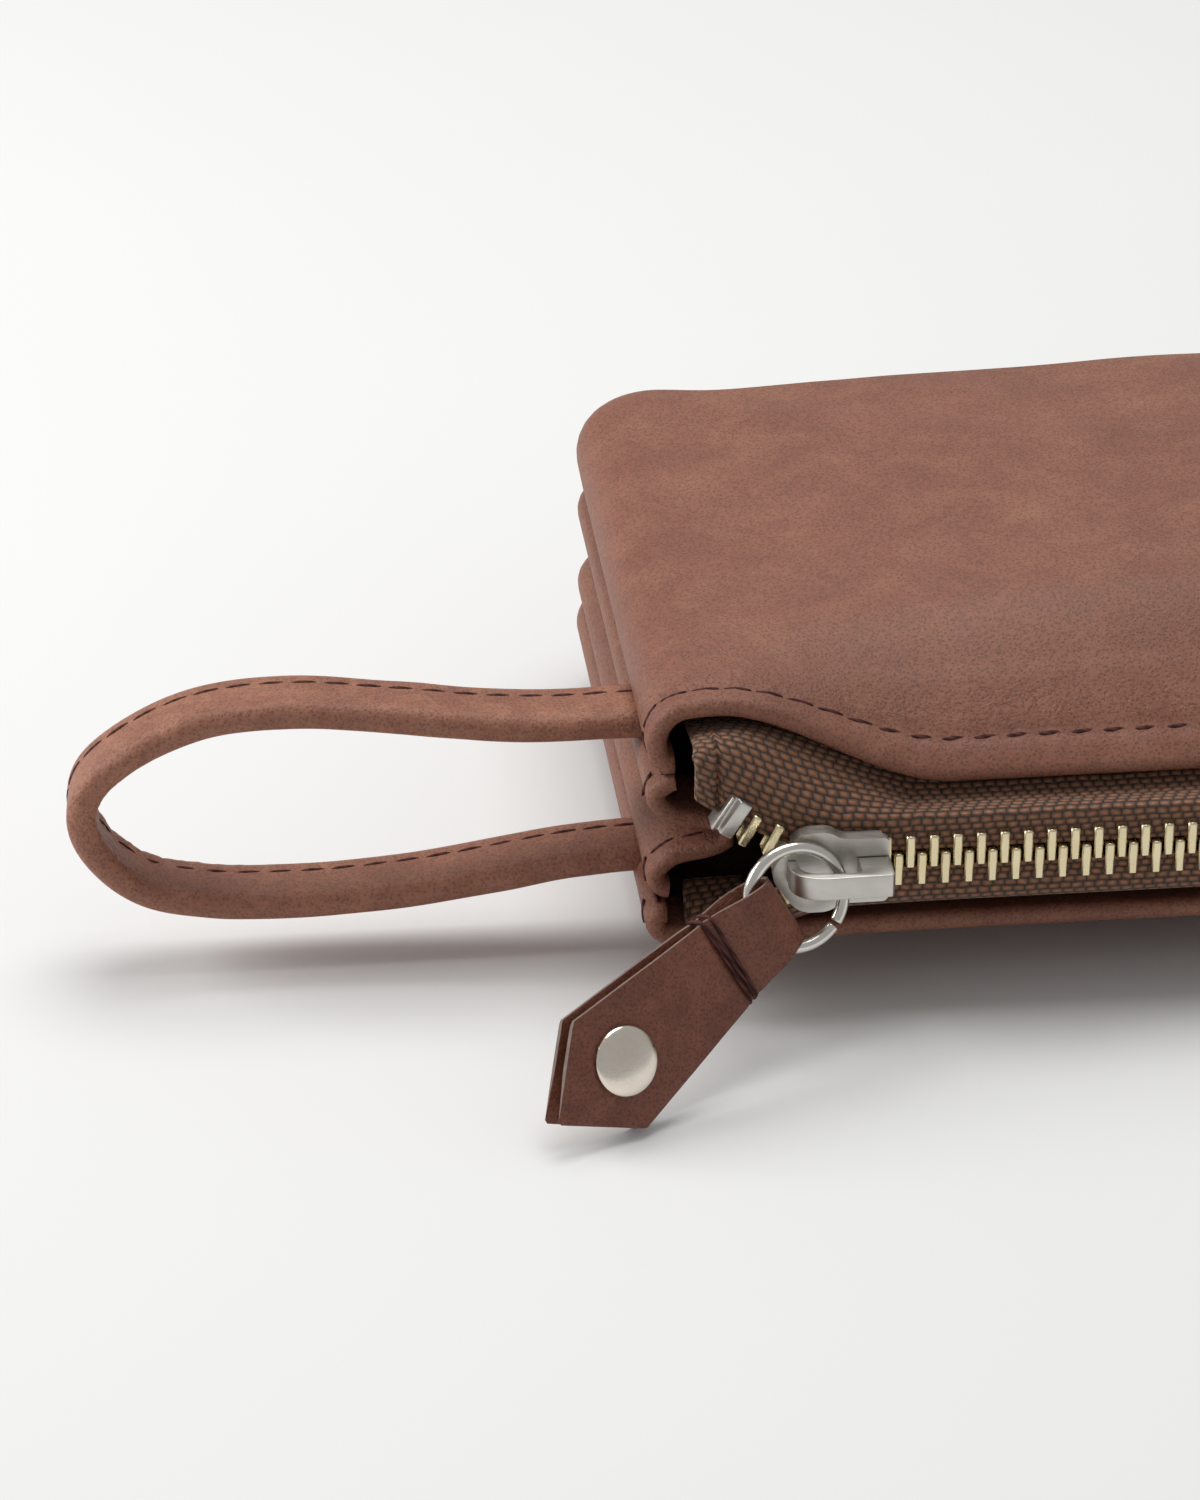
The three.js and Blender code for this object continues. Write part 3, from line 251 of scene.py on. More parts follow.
# Herringbone polyester tape: rows of slanting yarns that turn back every few rows. The rows are
# drawn a little coarser than the real ones, so that they show.
def makeTape():
    m = startMaterial("herringboneTape")
    place = addNode(m, "TexCoord").outputs["Object"]
    split = addNode(m, "SeparateXYZ", {0: addNode(m, "UVMap", uv_map="weave")})
    spun = addNode(m, "TexNoise", {
        "Vector": place, "Scale": 1 / (tapeWeave["unevenSize"] * mm), "Detail": 2.0})
    uneven = addNode(m, "Math", {
        0: spun, 1: tapeWeave["uneven"] * mm, 2: split.outputs[1]}, operation="MULTIPLY_ADD")
    rows = addNode(m, "Math", {0: uneven, 1: 1 / (tapeWeave["row"] * mm)}, operation="MULTIPLY")
    rowNumber = addNode(m, "Math", {0: rows}, operation="FLOOR")
    zigzag = addNode(m, "Math", {0: rowNumber, 1: tapeWeave["turn"]}, operation="PINGPONG")
    along = addNode(m, "Math", {
        0: split.outputs[0], 1: 1 / (tapeWeave["strand"] * mm)}, operation="MULTIPLY")
    shifted = addNode(m, "Math", {0: zigzag, 1: tapeWeave["slant"], 2: along}, operation="MULTIPLY_ADD")
    waves = []
    for phase in (rows, shifted):
        turn = addNode(m, "Math", {0: phase, 1: math.pi}, operation="MULTIPLY")
        wave = addNode(m, "Math", {0: turn}, operation="SINE")
        waves.append(addNode(m, "Math", {0: wave}, operation="ABSOLUTE"))
    strand = addNode(m, "Math", {0: waves[0], 1: waves[1]}, operation="MULTIPLY")
    height = addNode(m, "Math", {0: strand, 1: 0.7}, operation="POWER")
    fuzz = addNode(m, "TexNoise", {"Vector": place, "Scale": 1 / (tapeWeave["fuzz"] * mm), "Detail": 4.0})
    yarn = addNode(m, "Mix", {0: fuzz, 6: hexColour("5b3825"), 7: hexColour("ae7650")}, data_type="RGBA")
    # The gaps between the yarns are painted near black (170d07): painted shade in the weave's grooves. The
    # yarn crowns keep the yarn colour.
    tone = addNode(m, "Mix", {0: height, 6: hexColour("170d07"), 7: yarn}, data_type="RGBA")
    bump = addNode(m, "Bump", {"Height": height, "Strength": 0.9, "Distance": tapeWeave["depth"] * mm})
    return finishMaterial(m, {
        "Base Color": tone, "Roughness": 0.6, "Normal": bump, "Sheen Weight": 0.1})


# Bonded nylon thread: three plies, so each stitch carries fine slanting lines, with painted shade in the
# grooves between plies.
def makeThread():
    m = startMaterial("bondedNylonThread")
    place = addNode(m, "TexCoord").outputs["Object"]
    ply = addNode(m, "TexWave", {"Vector": place, "Scale": 1 / (2.4 * mm), "Distortion": 2.0},
                  bands_direction="DIAGONAL")
    # The thread is darker in the grooves between the plies: painted shade that follows the ply wave, not a
    # change in the thread's colour.
    tone = addNode(m, "Mix", {
        0: ply.outputs["Fac"], 6: hexColour("301817"), 7: hexColour("552f2c")}, data_type="RGBA")
    bump = addNode(m, "Bump", {"Height": ply.outputs["Fac"], "Strength": 0.5, "Distance": 0.06 * mm})
    return finishMaterial(m, {
        "Base Color": tone, "Roughness": 0.7, "Normal": bump, "Specular IOR Level": 0.2})


# A plated metal: its plate colour, a brushed or polished grain, and a faint unevenness in the gloss.
def makeMetal(name, look):
    m = startMaterial(name)
    place = addNode(m, "TexCoord").outputs["Object"]
    brushed = addNode(m, "Mapping", {"Vector": place, "Scale": look["grain"]})
    grain = addNode(m, "TexNoise", {
        "Vector": brushed, "Scale": 1 / (0.22 * mm), "Detail": 3.0})
    haze = addNode(m, "TexNoise", {"Vector": place, "Scale": 1 / (2.5 * mm), "Detail": 3.0})
    tone = addNode(m, "Mix", {
        0: haze, 6: hexColour(look["deep"]), 7: hexColour(look["light"])}, data_type="RGBA")
    gloss = addNode(m, "MapRange", {
        "Value": grain, "From Min": 0.3, "From Max": 0.7,
        "To Min": look["rough"] - 0.05, "To Max": look["rough"] + 0.07})
    bump = addNode(m, "Bump", {
        "Height": grain, "Strength": look["relief"], "Distance": 0.02 * mm})
    return finishMaterial(m, {
        "Base Color": tone, "Metallic": 1.0, "Roughness": gloss, "Normal": bump})


fleshSide = makeFleshSide()
edgePaint = makeEdgePaint()
tapeCloth = makeTape()
stitchThread = makeThread()
paleBrass = makeMetal("drawnPaleBrass", {
    "light": "efe3c4", "deep": "d8c79a", "rough": 0.27, "relief": 0.3, "grain": (1, 1, 0.3)})
satinNickel = makeMetal("brushedSatinNickel", {
    "light": "d2cfc8", "deep": "bdb9b1", "rough": 0.36, "relief": 0.5, "grain": (0.12, 1, 1)})
ringNickel = makeMetal("polishedNickelWire", {
    "light": "e2dfd8", "deep": "cfcbc2", "rough": 0.2, "relief": 0.15, "grain": (1, 1, 1)})
rivetNickel = makeMetal("spunWarmNickel", {
    "light": "efe6da", "deep": "ddd1c3", "rough": 0.2, "relief": 0.1, "grain": (0.3, 1, 1)})
print("materials: leather, cloth, thread and metal")


def eased(t):
    t = min(1.0, max(0.0, t))
    return t * t * (3 - 2 * t)


def mix(a, b, t):
    return a + (b - a) * t


def steps(start, end, count):
    return [mix(start, end, k / count) for k in range(count)]


def bell(distance, width):
    return math.exp(-(distance / width) ** 2)


# A centripetal curve through the points, cut into evenly spaced points.
def smoothLine(points, count):
    ends = [points[0] * 2 - points[1], *points, points[-1] * 2 - points[-2]]
    dense = []
    for p0, p1, p2, p3 in zip(ends, ends[1:], ends[2:], ends[3:]):
        t1 = (p1 - p0).length ** 0.5
        t2 = t1 + (p2 - p1).length ** 0.5
        t3 = t2 + (p3 - p2).length ** 0.5
        for t in steps(t1, t2, 24):
            a1 = p0.lerp(p1, t / t1)
            a2 = p1.lerp(p2, (t - t1) / (t2 - t1))
            a3 = p2.lerp(p3, (t - t2) / (t3 - t2))
            dense.append(a1.lerp(a2, t / t2).lerp(a2.lerp(a3, (t - t1) / (t3 - t1)), (t - t1) / (t2 - t1)))
    dense.append(points[-1].copy())
    return evenly(dense, count)


def evenly(dense, count):
    lengths = [0.0]
    for a, b in zip(dense, dense[1:]):
        lengths.append(lengths[-1] + (b - a).length)
    line = []
    at = 0
    for k in range(count + 1):
        wanted = lengths[-1] * k / count
        while at < len(dense) - 2 and lengths[at + 1] < wanted:
            at += 1
        share = (wanted - lengths[at]) / max(1e-9, lengths[at + 1] - lengths[at])
        line.append(dense[at].lerp(dense[at + 1], min(1.0, share)))
    return line


def finishPiece(bm, name, body, materials, stands=(), sharp=35):
    bmesh.ops.scale(bm, vec=(mm, mm, mm), verts=bm.verts)
    mesh = bpy.data.meshes.new(name)
    bm.to_mesh(mesh)
    bm.free()
    piece = link(bpy.data.objects.new(name, mesh))
    for material in materials:
        mesh.materials.append(material)
    mesh.shade_smooth()
    mesh.set_sharp_from_angle(angle=math.radians(sharp))
    if body:
        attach(piece, body)
    if stands:
        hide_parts(*stands)
    return piece


def vertsIn(geom):
    return [g for g in geom if isinstance(g, bmesh.types.BMVert)]


def faceOut(bm):
    bmesh.ops.recalc_face_normals(bm, faces=bm.faces)


# Turns the faces of an open sheet so that most of them look the way that outward(middle) gives.
def faceOutward(bm, outward):
    bm.normal_update()
    agree = sum(face.normal.dot(outward(face.calc_center_median())) * face.calc_area() for face in bm.faces)
    if agree < 0:
        bmesh.ops.reverse_faces(bm, faces=bm.faces)


# A flat grid whose corner (i, j) is moved to place(i, j).
def bentGrid(columns, rows, place, crease=None, weave=None):
    bm = bmesh.new()
    bmesh.ops.create_grid(bm, x_segments=columns, y_segments=rows, size=0.5)
    creases = bm.verts.layers.float.new("crease")
    where = {}
    for vert in bm.verts:
        i = round((vert.co.x + 0.5) * columns)
        j = round((vert.co.y + 0.5) * rows)
        where[vert] = (i, j)
        if crease:
            vert[creases] = crease(i, j)
    for vert, (i, j) in where.items():
        vert.co = place(i, j)
    if weave:
        layer = bm.loops.layers.uv.new("weave")
        for face in bm.faces:
            for loop in face.loops:
                loop[layer].uv = weave(*where[loop.vert])
    return bm


def thicken(piece, thickness, edge, segments, rim=0, inside=0):
    solid = piece.modifiers.new("thickness", "SOLIDIFY")
    solid.thickness = thickness * mm
    solid.offset = -1
    solid.use_even_offset = False
    solid.thickness_clamp = 0.9
    solid.material_offset = inside
    solid.material_offset_rim = rim
    if edge:
        rounding = piece.modifiers.new("edges", "BEVEL")
        rounding.width = edge * mm
        rounding.segments = segments
        rounding.limit_method = "ANGLE"
        rounding.angle_limit = math.radians(50)


def slopes(surface, a, b):
    step = 0.15
    return surface(a + step, b) - surface(a - step, b), surface(a, b + step) - surface(a, b - step)


def surfaceNormal(surface, a, b, outward):
    alongA, alongB = slopes(surface, a, b)
    return alongA.cross(alongB).normalized() * outward


# The point of a hemmed surface: fold 0 is the outer face, pi the turned-in layer, and between
# them the edge.
def foldedPoint(surface, a, b, fold, radius, outward, toEdge):
    alongA, alongB = slopes(surface, a, b)
    normal = alongA.cross(alongB).normalized() * outward
    edge = alongA * toEdge[0] + alongB * toEdge[1]
    edge = (edge - normal * edge.dot(normal)).normalized()
    middle = surface(a, b) - normal * radius
    return middle + normal * (radius * math.cos(fold)) + edge * (radius * math.sin(fold))


panel = {
    "halfLength": 100.0,
    "front": -42.0,
    "back": 43.0,
    "corner": 10.0,
    "leather": 1.1,
    "foldRadius": 1.15,  # of the turned hem
    "foldInset": 0.4,  # where the turn starts, behind the front edge
    "hemDepth": 8.0,
    "stitchAt": 2.8,
    "rollStart": math.radians(-52),
    "seamTurn": 1.3,  # leather that turns in past the seam
    "lipReach": 1.5,
    "lipDepth": 18.0,
    "lipFrom": 66.0,
    "lipTo": 93.0,
    "lipCurve": 1.8,
    "crownCurve": 2.4,  # how flat the crown is before it falls away
    "cornerLift": 1.3,  # the stiff seam props up the back corners
    "liftInset": 8.0,
    "liftSpan": 7.0,
    "restHalfLength": 55.8,  # of the flat the pouch lies on
    "restHalfDepth": 18.0,
}
upper = {"up": 1, "seamZ": 28.5, "roll": 4.64, "lipZ": 27.4, "crown": 3.6, "swell": 0.34}
lower = {"up": -1, "seamZ": 12.2, "roll": 2.75, "lipZ": 8.4, "swell": 0.0}
halfLength, frontY, backY, corner = (panel[k] for k in ("halfLength", "front", "back", "corner"))


def cornerShare(x):
    return eased((abs(x) - panel["lipFrom"]) / (panel["lipTo"] - panel["lipFrom"]))


def lipShare(y):
    return min(1.0, max(0.0, (frontY + panel["lipDepth"] - y) / panel["lipDepth"])) ** panel["lipCurve"]


# The roll stands taller towards the middle of the long edge, where the filled pouch swells.
def rollRise(side, angle, x):
    swell = 1 + side["swell"] * (1 - min(1.0, abs(x) / halfLength) ** 2)
    return side["roll"] * swell * (math.sin(angle) - math.sin(panel["rollStart"]))


def faceZ(side, x, y):
    edgeZ = side["seamZ"] + side["up"] * rollRise(side, math.pi / 2, x)
    if side["up"] > 0:
        along = min(1.0, abs(x) / halfLength) ** panel["crownCurve"]
        deep = min(1.0, abs(y - (frontY + backY) / 2) / ((backY - frontY) / 2)) ** panel["crownCurve"]
        face = edgeZ + side["crown"] * (1 - along) * (1 - deep)
    else:
        flatX, flatY = panel["restHalfLength"], panel["restHalfDepth"]
        outX = eased((abs(x) - flatX) / (halfLength - flatX))
        outY = eased((abs(y) - flatY) / (backY - flatY))
        face = edgeZ * (1 - (1 - outX) * (1 - outY))
    lip = mix(side["lipZ"], edgeZ, cornerShare(x))
    return mix(face, lip, lipShare(y))


def roundedCorner(x, y):
    fromSide = halfLength - abs(x)
    fromBack = backY - y
    out = Vector((math.copysign(1, x), 0, 0)) if fromSide <= fromBack else Vector((0, 1, 0))
    ring = min(fromSide, fromBack)
    if fromSide < corner and fromBack < corner:
        a = corner - fromSide
        b = corner - fromBack
        turn = math.pi / 4 * b / a if a >= b else math.pi / 2 - math.pi / 4 * a / b
        out = Vector((math.copysign(math.cos(turn), x), math.sin(turn), 0))
        reach = corner - max(ring, 0)
        x = math.copysign(halfLength - corner, x) + out.x * reach
        y = backY - corner + out.y * reach
    elif ring < 0:
        x = max(-halfLength, min(halfLength, x))
        y = min(backY, y)
    return x, y, ring, out


def panelFace(side, x, y):
    x, y, ring, out = roundedCorner(x, y)
    point = Vector((x, y, 0))
    if ring < side["roll"]:
        angle = mix(panel["rollStart"], math.pi / 2, max(ring, 0) / side["roll"])
        point += out * (max(ring, 0) - side["roll"] * (1 - math.cos(angle)))
        point.z = side["seamZ"] + side["up"] * rollRise(side, angle, x)
        point += out * min(ring, 0)
    else:
        point.z = faceZ(side, x, y)
    if side["up"] > 0:
        fromLift = math.hypot(halfLength - panel["liftInset"] - abs(x), backY - panel["liftInset"] - y)
        point.z += panel["cornerLift"] * bell(fromLift, panel["liftSpan"])
    point.y -= panel["lipReach"] * (1 - cornerShare(x)) * lipShare(y)
    return point


relief = {  # heights, with the length of each wave
    "wave": (0.55, 34), "ripple": (0.16, 12),
    "drape": (0.45, 9), "drapeStretch": 3, "drapeFrom": (6, 20),
    "puff": (0.16, 1.4, 1.0),  # between the edge and the stitches: height, place, width
    "stitchGroove": (0.26, 0.55),
    "hemStep": 0.22,
    "pucker": (0.10, 3.6, 1.4),  # the pull of each stitch: height, pitch, reach
    "lowest": 0.02,
}


# The hide's own unevenness, the puffed band between edge and stitches, and the pull of each stitch.
def hideRelief(side, x, y):
    spot = Vector((x, y, side["up"] * 40))
    fromEdge = y - frontY
    fromStitch = fromEdge - panel["stitchAt"]
    wave = sum(high * noise.noise(spot / long) for high, long in (relief["wave"], relief["ripple"]))
    drape = Vector((x * 0.5 + y * 0.9, (y * 0.5 - x * 0.9) / relief["drapeStretch"], 7))
    start, run = relief["drapeFrom"]
    wave += relief["drape"][0] * noise.noise(drape / relief["drape"][1]) * eased((fromEdge - start) / run)
    puff, puffAt, puffWidth = relief["puff"]
    groove, grooveWidth = relief["stitchGroove"]
    hem = puff * bell(fromEdge - puffAt, puffWidth) - groove * bell(fromStitch, grooveWidth)
    step = relief["hemStep"] * eased((panel["hemDepth"] + 1.2 - fromEdge) / 2.0)
    pull, pitch, reach = relief["pucker"]
    pucker = pull * math.cos(x * math.tau / pitch) * bell(fromStitch, reach)
    fade = eased((halfLength - abs(x)) / 6)
    return (wave * eased((fromEdge - 2) / 12) + step) * fade + hem + pucker


def leatherFace(side):
    def surface(x, y):
        point = panelFace(side, x, y)
        inward = min(halfLength - abs(x), backY - y)
        point.z += side["up"] * hideRelief(side, x, y) * eased(inward / side["roll"])
        point.z = max(point.z, relief["lowest"])
        return point
    return surface


def panelColumns(side):
    turn, roll = panel["seamTurn"], side["roll"]
    edge = steps(-turn, 0, 2) + steps(0, roll, 10) + steps(roll, corner, 5)
    middle = steps(corner, halfLength * 2 - corner, 190)
    return [-halfLength + d for d in edge + middle] + [halfLength - d for d in (edge + [corner])[::-1]]


def panelRows(side):
    turn, roll, radius = panel["seamTurn"], side["roll"], panel["foldRadius"]
    edgeY = frontY + panel["foldInset"]
    rows = [(edgeY + d, math.pi) for d in (8.0, 6.0, 4.2, 2.6, 1.2)]
    rows += [(edgeY, math.pi * (1 - k / 8)) for k in range(9)]
    rows += [(y, 0.0) for y in steps(edgeY, frontY + 11, 22)[1:]]
    rows += [(y, 0.0) for y in steps(frontY + 11, backY - corner, 56)]
    rows += [(y, 0.0) for y in steps(backY - corner, backY - roll, 5)]
    rows += [(y, 0.0) for y in steps(backY - roll, backY, 10)]
    return rows + [(backY, 0.0), (backY + turn / 2, 0.0), (backY + turn, 0.0)]


def makePanel(name, side, stands):
    xs = panelColumns(side)
    rows = panelRows(side)
    surface = leatherFace(side)

    def place(i, j):
        y, fold = rows[j]
        return foldedPoint(surface, xs[i], y, fold, panel["foldRadius"], side["up"], (0, -1))

    def crease(i, j):
        x, y = xs[i], rows[j][0]
        return 0.9 * bell(abs(x) - 96, 7) * bell(y - frontY - 7, 9) + 0.5 * bell(y - frontY - 4.5, 1.6)

    bm = bentGrid(len(xs) - 1, len(rows) - 1, place, crease)
    faceOutward(bm, lambda middle: Vector((0, 0, side["up"])))
    piece = finishPiece(bm, name, "pouch", [saddleLeather, fleshSide], stands, sharp=75)
    thicken(piece, panel["leather"], 0, 0, inside=1)
    return piece


makePanel("frontPanel", upper, ["front_panel"])
makePanel("backPanel", lower, ["back_panel"])
print("panels: front and back")

gusset = {
    "leather": 1.0,
    "foldRadius": 1.05,
    "profile": [  # in from the outside, and up from the floor
        (3.1, 28.1), (2.5, 28.0), (1.7, 27.55), (0.35, 26.3), (0.3, 24.3), (2.6, 22.05), (6.9, 21.05),
        (8.4, 20.35), (6.9, 19.65), (2.6, 18.65), (0.3, 16.4), (0.35, 14.4), (1.3, 13.2), (2.0, 12.8),
        (2.6, 12.7)],
}
sideRun = backY - corner - frontY
cornerRun = corner * math.pi / 2
backRun = 2 * (halfLength - corner)
wholeRun = 2 * sideRun + 2 * cornerRun + backRun


# Where the strip is at a distance along it from the left mouth end: the middle of its curve and the way out.
def outline(run):
    if run > wholeRun / 2:
        base, out = outline(wholeRun - run)
        return Vector((-base.x, base.y, 0)), Vector((-out.x, out.y, 0))
    if run < sideRun:
        return Vector((-halfLength + corner, frontY + run, 0)), Vector((-1, 0, 0))
    if run < sideRun + cornerRun:
        turn = (run - sideRun) / corner
        return Vector((-halfLength + corner, backY - corner, 0)), Vector((-math.cos(turn), math.sin(turn), 0))
    return Vector((-halfLength + corner + run - sideRun - cornerRun, backY - corner, 0)), Vector((0, 1, 0))


def makeGusset():
    rows = 60
    profile = smoothLine([Vector((p[0], p[1], 0)) for p in gusset["profile"]], rows)

    def surface(run, t):
        k = min(rows - 1, max(0, int(t)))
        p = profile[k].lerp(profile[k + 1], t - k)
        base, out = outline(run)
        spot = base + out * 10 + Vector((0, 0, p.y * 2.4))
        wave = 0.32 * noise.noise(spot / 17) + 0.14 * noise.noise(spot / 6)
        wave *= eased((p.x - 0.1) / 3) * eased((4.4 - p.x) / 2 + 0.4)  # none at the seams or in the valley
        return base + out * (corner - p.x + wave) + Vector((0, 0, p.y))

    radius = gusset["foldRadius"]
    left = [(radius + d, math.pi) for d in (8.0, 5.0, 2.5)]
    left += [(radius, math.pi * (1 - k / 8)) for k in range(9)]
    left += [(run, 0.0) for run in steps(radius, 12, 14)[1:]]
    left += [(run, 0.0) for run in steps(12, wholeRun / 2, 110)]
    stations = left + [(wholeRun / 2, 0.0)] + [(wholeRun - run, fold) for run, fold in left[::-1]]

    def place(i, j):
        run, fold = stations[i]
        toEdge = (-1, 0) if run < wholeRun / 2 else (1, 0)
        return foldedPoint(surface, run, j, fold, radius, 1, toEdge)

    def crease(i, j):
        return 0.35 + 0.5 * bell(j - rows / 2, 8)

    bm = bentGrid(len(stations) - 1, rows, place, crease)
    faceOutward(bm, lambda middle: Vector((middle.x, 0, 0)))
    piece = finishPiece(bm, "throughGusset", "pouch", [saddleLeather, fleshSide],
                        ["through_gusset"], sharp=75)
    thicken(piece, gusset["leather"], 0.3, 2, inside=1)
    return surface


gussetSurface = makeGusset()
print("gusset")


# Stitches of one row: each is a short arched strand that dips into its holes at both ends.
def stitchRow(name, path, look, body, stands=()):
    pitch, length, width, sink = (look[k] for k in ("pitch", "length", "width", "sink"))
    total = sum((b[0] - a[0]).length for a, b in zip(path, path[1:]))
    count = max(1, round(total / pitch))
    spots = evenly([p for p, n in path], count * 2)
    bm = bmesh.new()
    for k in range(count):
        middle = spots[2 * k + 1]
        along = (spots[2 * k + 2] - spots[2 * k]).normalized()
        normal = min(path, key=lambda item: (item[0] - middle).length_squared)[1]
        across = normal.cross(along).normalized()
        normal = along.cross(across)
        slant = Matrix.Rotation(look["slant"], 3, normal)
        turned = Matrix((slant @ along, slant @ across, normal)).transposed().to_4x4()
        turned.translation = middle - normal * sink
        size = Matrix.Diagonal((length / 2, width / 2, width / 2, 1))
        bmesh.ops.create_uvsphere(bm, u_segments=8, v_segments=6, radius=1,
                                  matrix=turned @ size @ Matrix.Rotation(math.pi / 2, 4, "Y"))
    return finishPiece(bm, name, body, [stitchThread], stands, sharp=180)


hemStitch = {"pitch": 3.6, "length": 3.15, "width": 0.62, "sink": 0.12, "slant": 0.06}
seamStitch = {"pitch": 3.6, "length": 2.9, "width": 0.5, "sink": 0.1, "slant": 0.0, "tip": 0.1,
              "upper": (1.75, 28.25), "lower": (1.25, 12.45)}  # in from the side, and up


def hemPath(side):
    surface = leatherFace(side)
    y = frontY + panel["stitchAt"]
    xs = [x for x in panelColumns(side) if abs(x) < halfLength - 0.2]
    return [(surface(x, y), surfaceNormal(surface, x, y, side["up"])) for x in xs]


def seamPath(inset, z):
    path = []
    for k in range(361):
        base, out = outline(wholeRun * k / 360)
        point = base + out * (corner - inset) + Vector((0, 0, z))
        path.append((point, (out + Vector((0, 0, seamStitch["tip"]))).normalized()))
    return path


def gussetHemPath(run):
    rows = [t * 0.5 for t in range(8, 112)]
    return [(gussetSurface(run, t), surfaceNormal(gussetSurface, run, t, 1)) for t in rows]


stitchRow("frontHemStitches", hemPath(upper), hemStitch, "pouch", ["front_hem_thread"])
stitchRow("backHemStitches", hemPath(lower), hemStitch, "pouch", ["back_hem_thread"])
stitchRow("leftGussetHemStitches", gussetHemPath(panel["stitchAt"]), hemStitch, "pouch")
stitchRow("rightGussetHemStitches", gussetHemPath(wholeRun - panel["stitchAt"]), hemStitch, "pouch")
stitchRow("upperSeamStitches", seamPath(*seamStitch["upper"]), seamStitch, "pouch", ["upper_seam_thread"])
stitchRow("lowerSeamStitches", seamPath(*seamStitch["lower"]), seamStitch, "pouch", ["lower_seam_thread"])
print("stitches")

zipper = {
    "y": -47.0,
    "z": 19.5,
    "pitch": 2.6,
    "toothWidth": 1.06,
    "toothDepth": 2.3,
    "toothReach": 0.9,
    "toothRoot": 3.0,
    "bead": 1.05,
    "tapeGap": 3.0,
    "tapeFlat": 2.2,
    "tape": 0.62,
    "tapeEnd": 95.4,
    "foldStart": -84.0,  # the tape's ends turn in from here
    "foldMark": (0.8, 2.0, 0.3),  # the line of the turned end: depth, place, width
    "clear": (1.2, 1.6),  # of the tape under the hem, above and below
    "splayStart": -79.0,  # the rows part to the left of this
    "splayReach": 7.2,
    "splayPower": 1.6,
    "firstTooth": -89.8,
    "chainEnd": 84.5,
}


def splay(x):
    run = max(0.0, zipper["splayStart"] - x) / (zipper["tapeEnd"] + zipper["splayStart"])
    return zipper["splayReach"] * run ** zipper["splayPower"]


def rowFrame(x, up):
    along = Vector((0.1, 0, up * (splay(x + 0.05) - splay(x - 0.05)))).normalized()
    out = Vector((-up * along.z, 0, up * along.x)).normalized()
    return along, out, Vector((x, zipper["y"], zipper["z"] + up * splay(x)))


# The point of a row at a distance out from its middle line, with the given x.
def rowSpot(x, up, reach):
    at = x
    for again in range(4):
        along, out, middle = rowFrame(at, up)
        at = x - out.x * reach
    return middle + out * reach


def tapeLine(x, side):
    up = side["up"]
    end = eased((zipper["foldStart"] - x) / (zipper["tapeEnd"] + zipper["foldStart"]))
    clear = 2 * panel["foldRadius"] + zipper["clear"][0 if up > 0 else 1]
    bead = rowSpot(x, up, zipper["bead"])
    edge = rowSpot(x, up, zipper["tapeGap"])
    fold = rowSpot(x, up, zipper["tapeGap"] + zipper["tapeFlat"])
    lip = Vector((x, frontY - 0.6 - 3.2 * end, faceZ(side, x, frontY) - up * clear))
    inner = Vector((x, frontY + 5.5, faceZ(side, x, frontY + 5.5) - up * (clear + 0.3)))
    lip.z = max(lip.z, fold.z + 0.1) if up > 0 else min(lip.z, fold.z - 0.1)
    if cornerShare(x) > 0 and x < 0:
        inner.z -= up * 0.4 * end
    return [bead, edge, fold, lip, inner]


def makeTapePiece(name, side, stands):
    rows = 20
    radius = zipper["tape"]
    end = zipper["tapeEnd"] - radius
    markDepth, markAt, markWidth = zipper["foldMark"]
    xs = [(-end + d, math.pi) for d in (6.0, 3.0)]
    xs += [(-end, math.pi * (1 - k / 6)) for k in range(7)]
    xs += [(x, 0.0) for x in steps(-end, -end + 4, 28)[1:] + steps(-end + 4, -68, 52) + steps(-68, end, 90)]
    xs += [(end, math.pi * k / 6) for k in range(7)] + [(end - d, math.pi) for d in (3.0, 6.0)]
    lines = {}

    def line(x):
        if x not in lines:
            lines[x] = smoothLine(tapeLine(x, side), rows)
        return lines[x]

    def surface(x, t):
        k = min(rows - 1, max(0, int(t)))
        p = line(x)[k].lerp(line(x)[k + 1], t - k)
        dent = markDepth * bell(x + end - markAt, markWidth)
        return p + Vector((0, dent - zipper["tape"] / 2, 0))

    def place(i, j):
        x, fold = xs[i]
        toEdge = (-1, 0) if x < 0 else (1, 0)
        return foldedPoint(surface, x, j, fold, radius, side["up"], toEdge)

    def weave(i, j):
        x, fold = xs[i]
        return ((x + math.copysign(fold * radius, x)) * mm, j * tapeWeave["row"] * mm)

    bm = bentGrid(len(xs) - 1, rows, place, weave=weave)
    faceOutward(bm, lambda middle: Vector((0, -1, 0)))
    piece = finishPiece(bm, name, "pouch", [tapeCloth], stands, sharp=75)
    thicken(piece, zipper["tape"], 0.15, 2)


makeTapePiece("upperTape", upper, ["front_zip_tape"])
makeTapePiece("lowerTape", lower, ["back_zip_tape"])


def sharpEdges(bm, degrees):
    bm.normal_update()
    return [e for e in bm.edges if len(e.link_faces) == 2 and e.calc_face_angle() > math.radians(degrees)]


def roundEdges(bm, width, segments, degrees=30):
    bmesh.ops.bevel(bm, geom=sharpEdges(bm, degrees), offset=width, offset_type="OFFSET", affect="EDGES",
                    segments=segments, profile=0.5, material=-1, clamp_overlap=True)


def addBlock(bm, low, high):
    size = [h - l for l, h in zip(low, high)]
    middle = [(h + l) / 2 for l, h in zip(low, high)]
    place = Matrix.Translation(middle) @ Matrix.Diagonal((*size, 1))
    return bmesh.ops.create_cube(bm, size=1, matrix=place)["verts"]
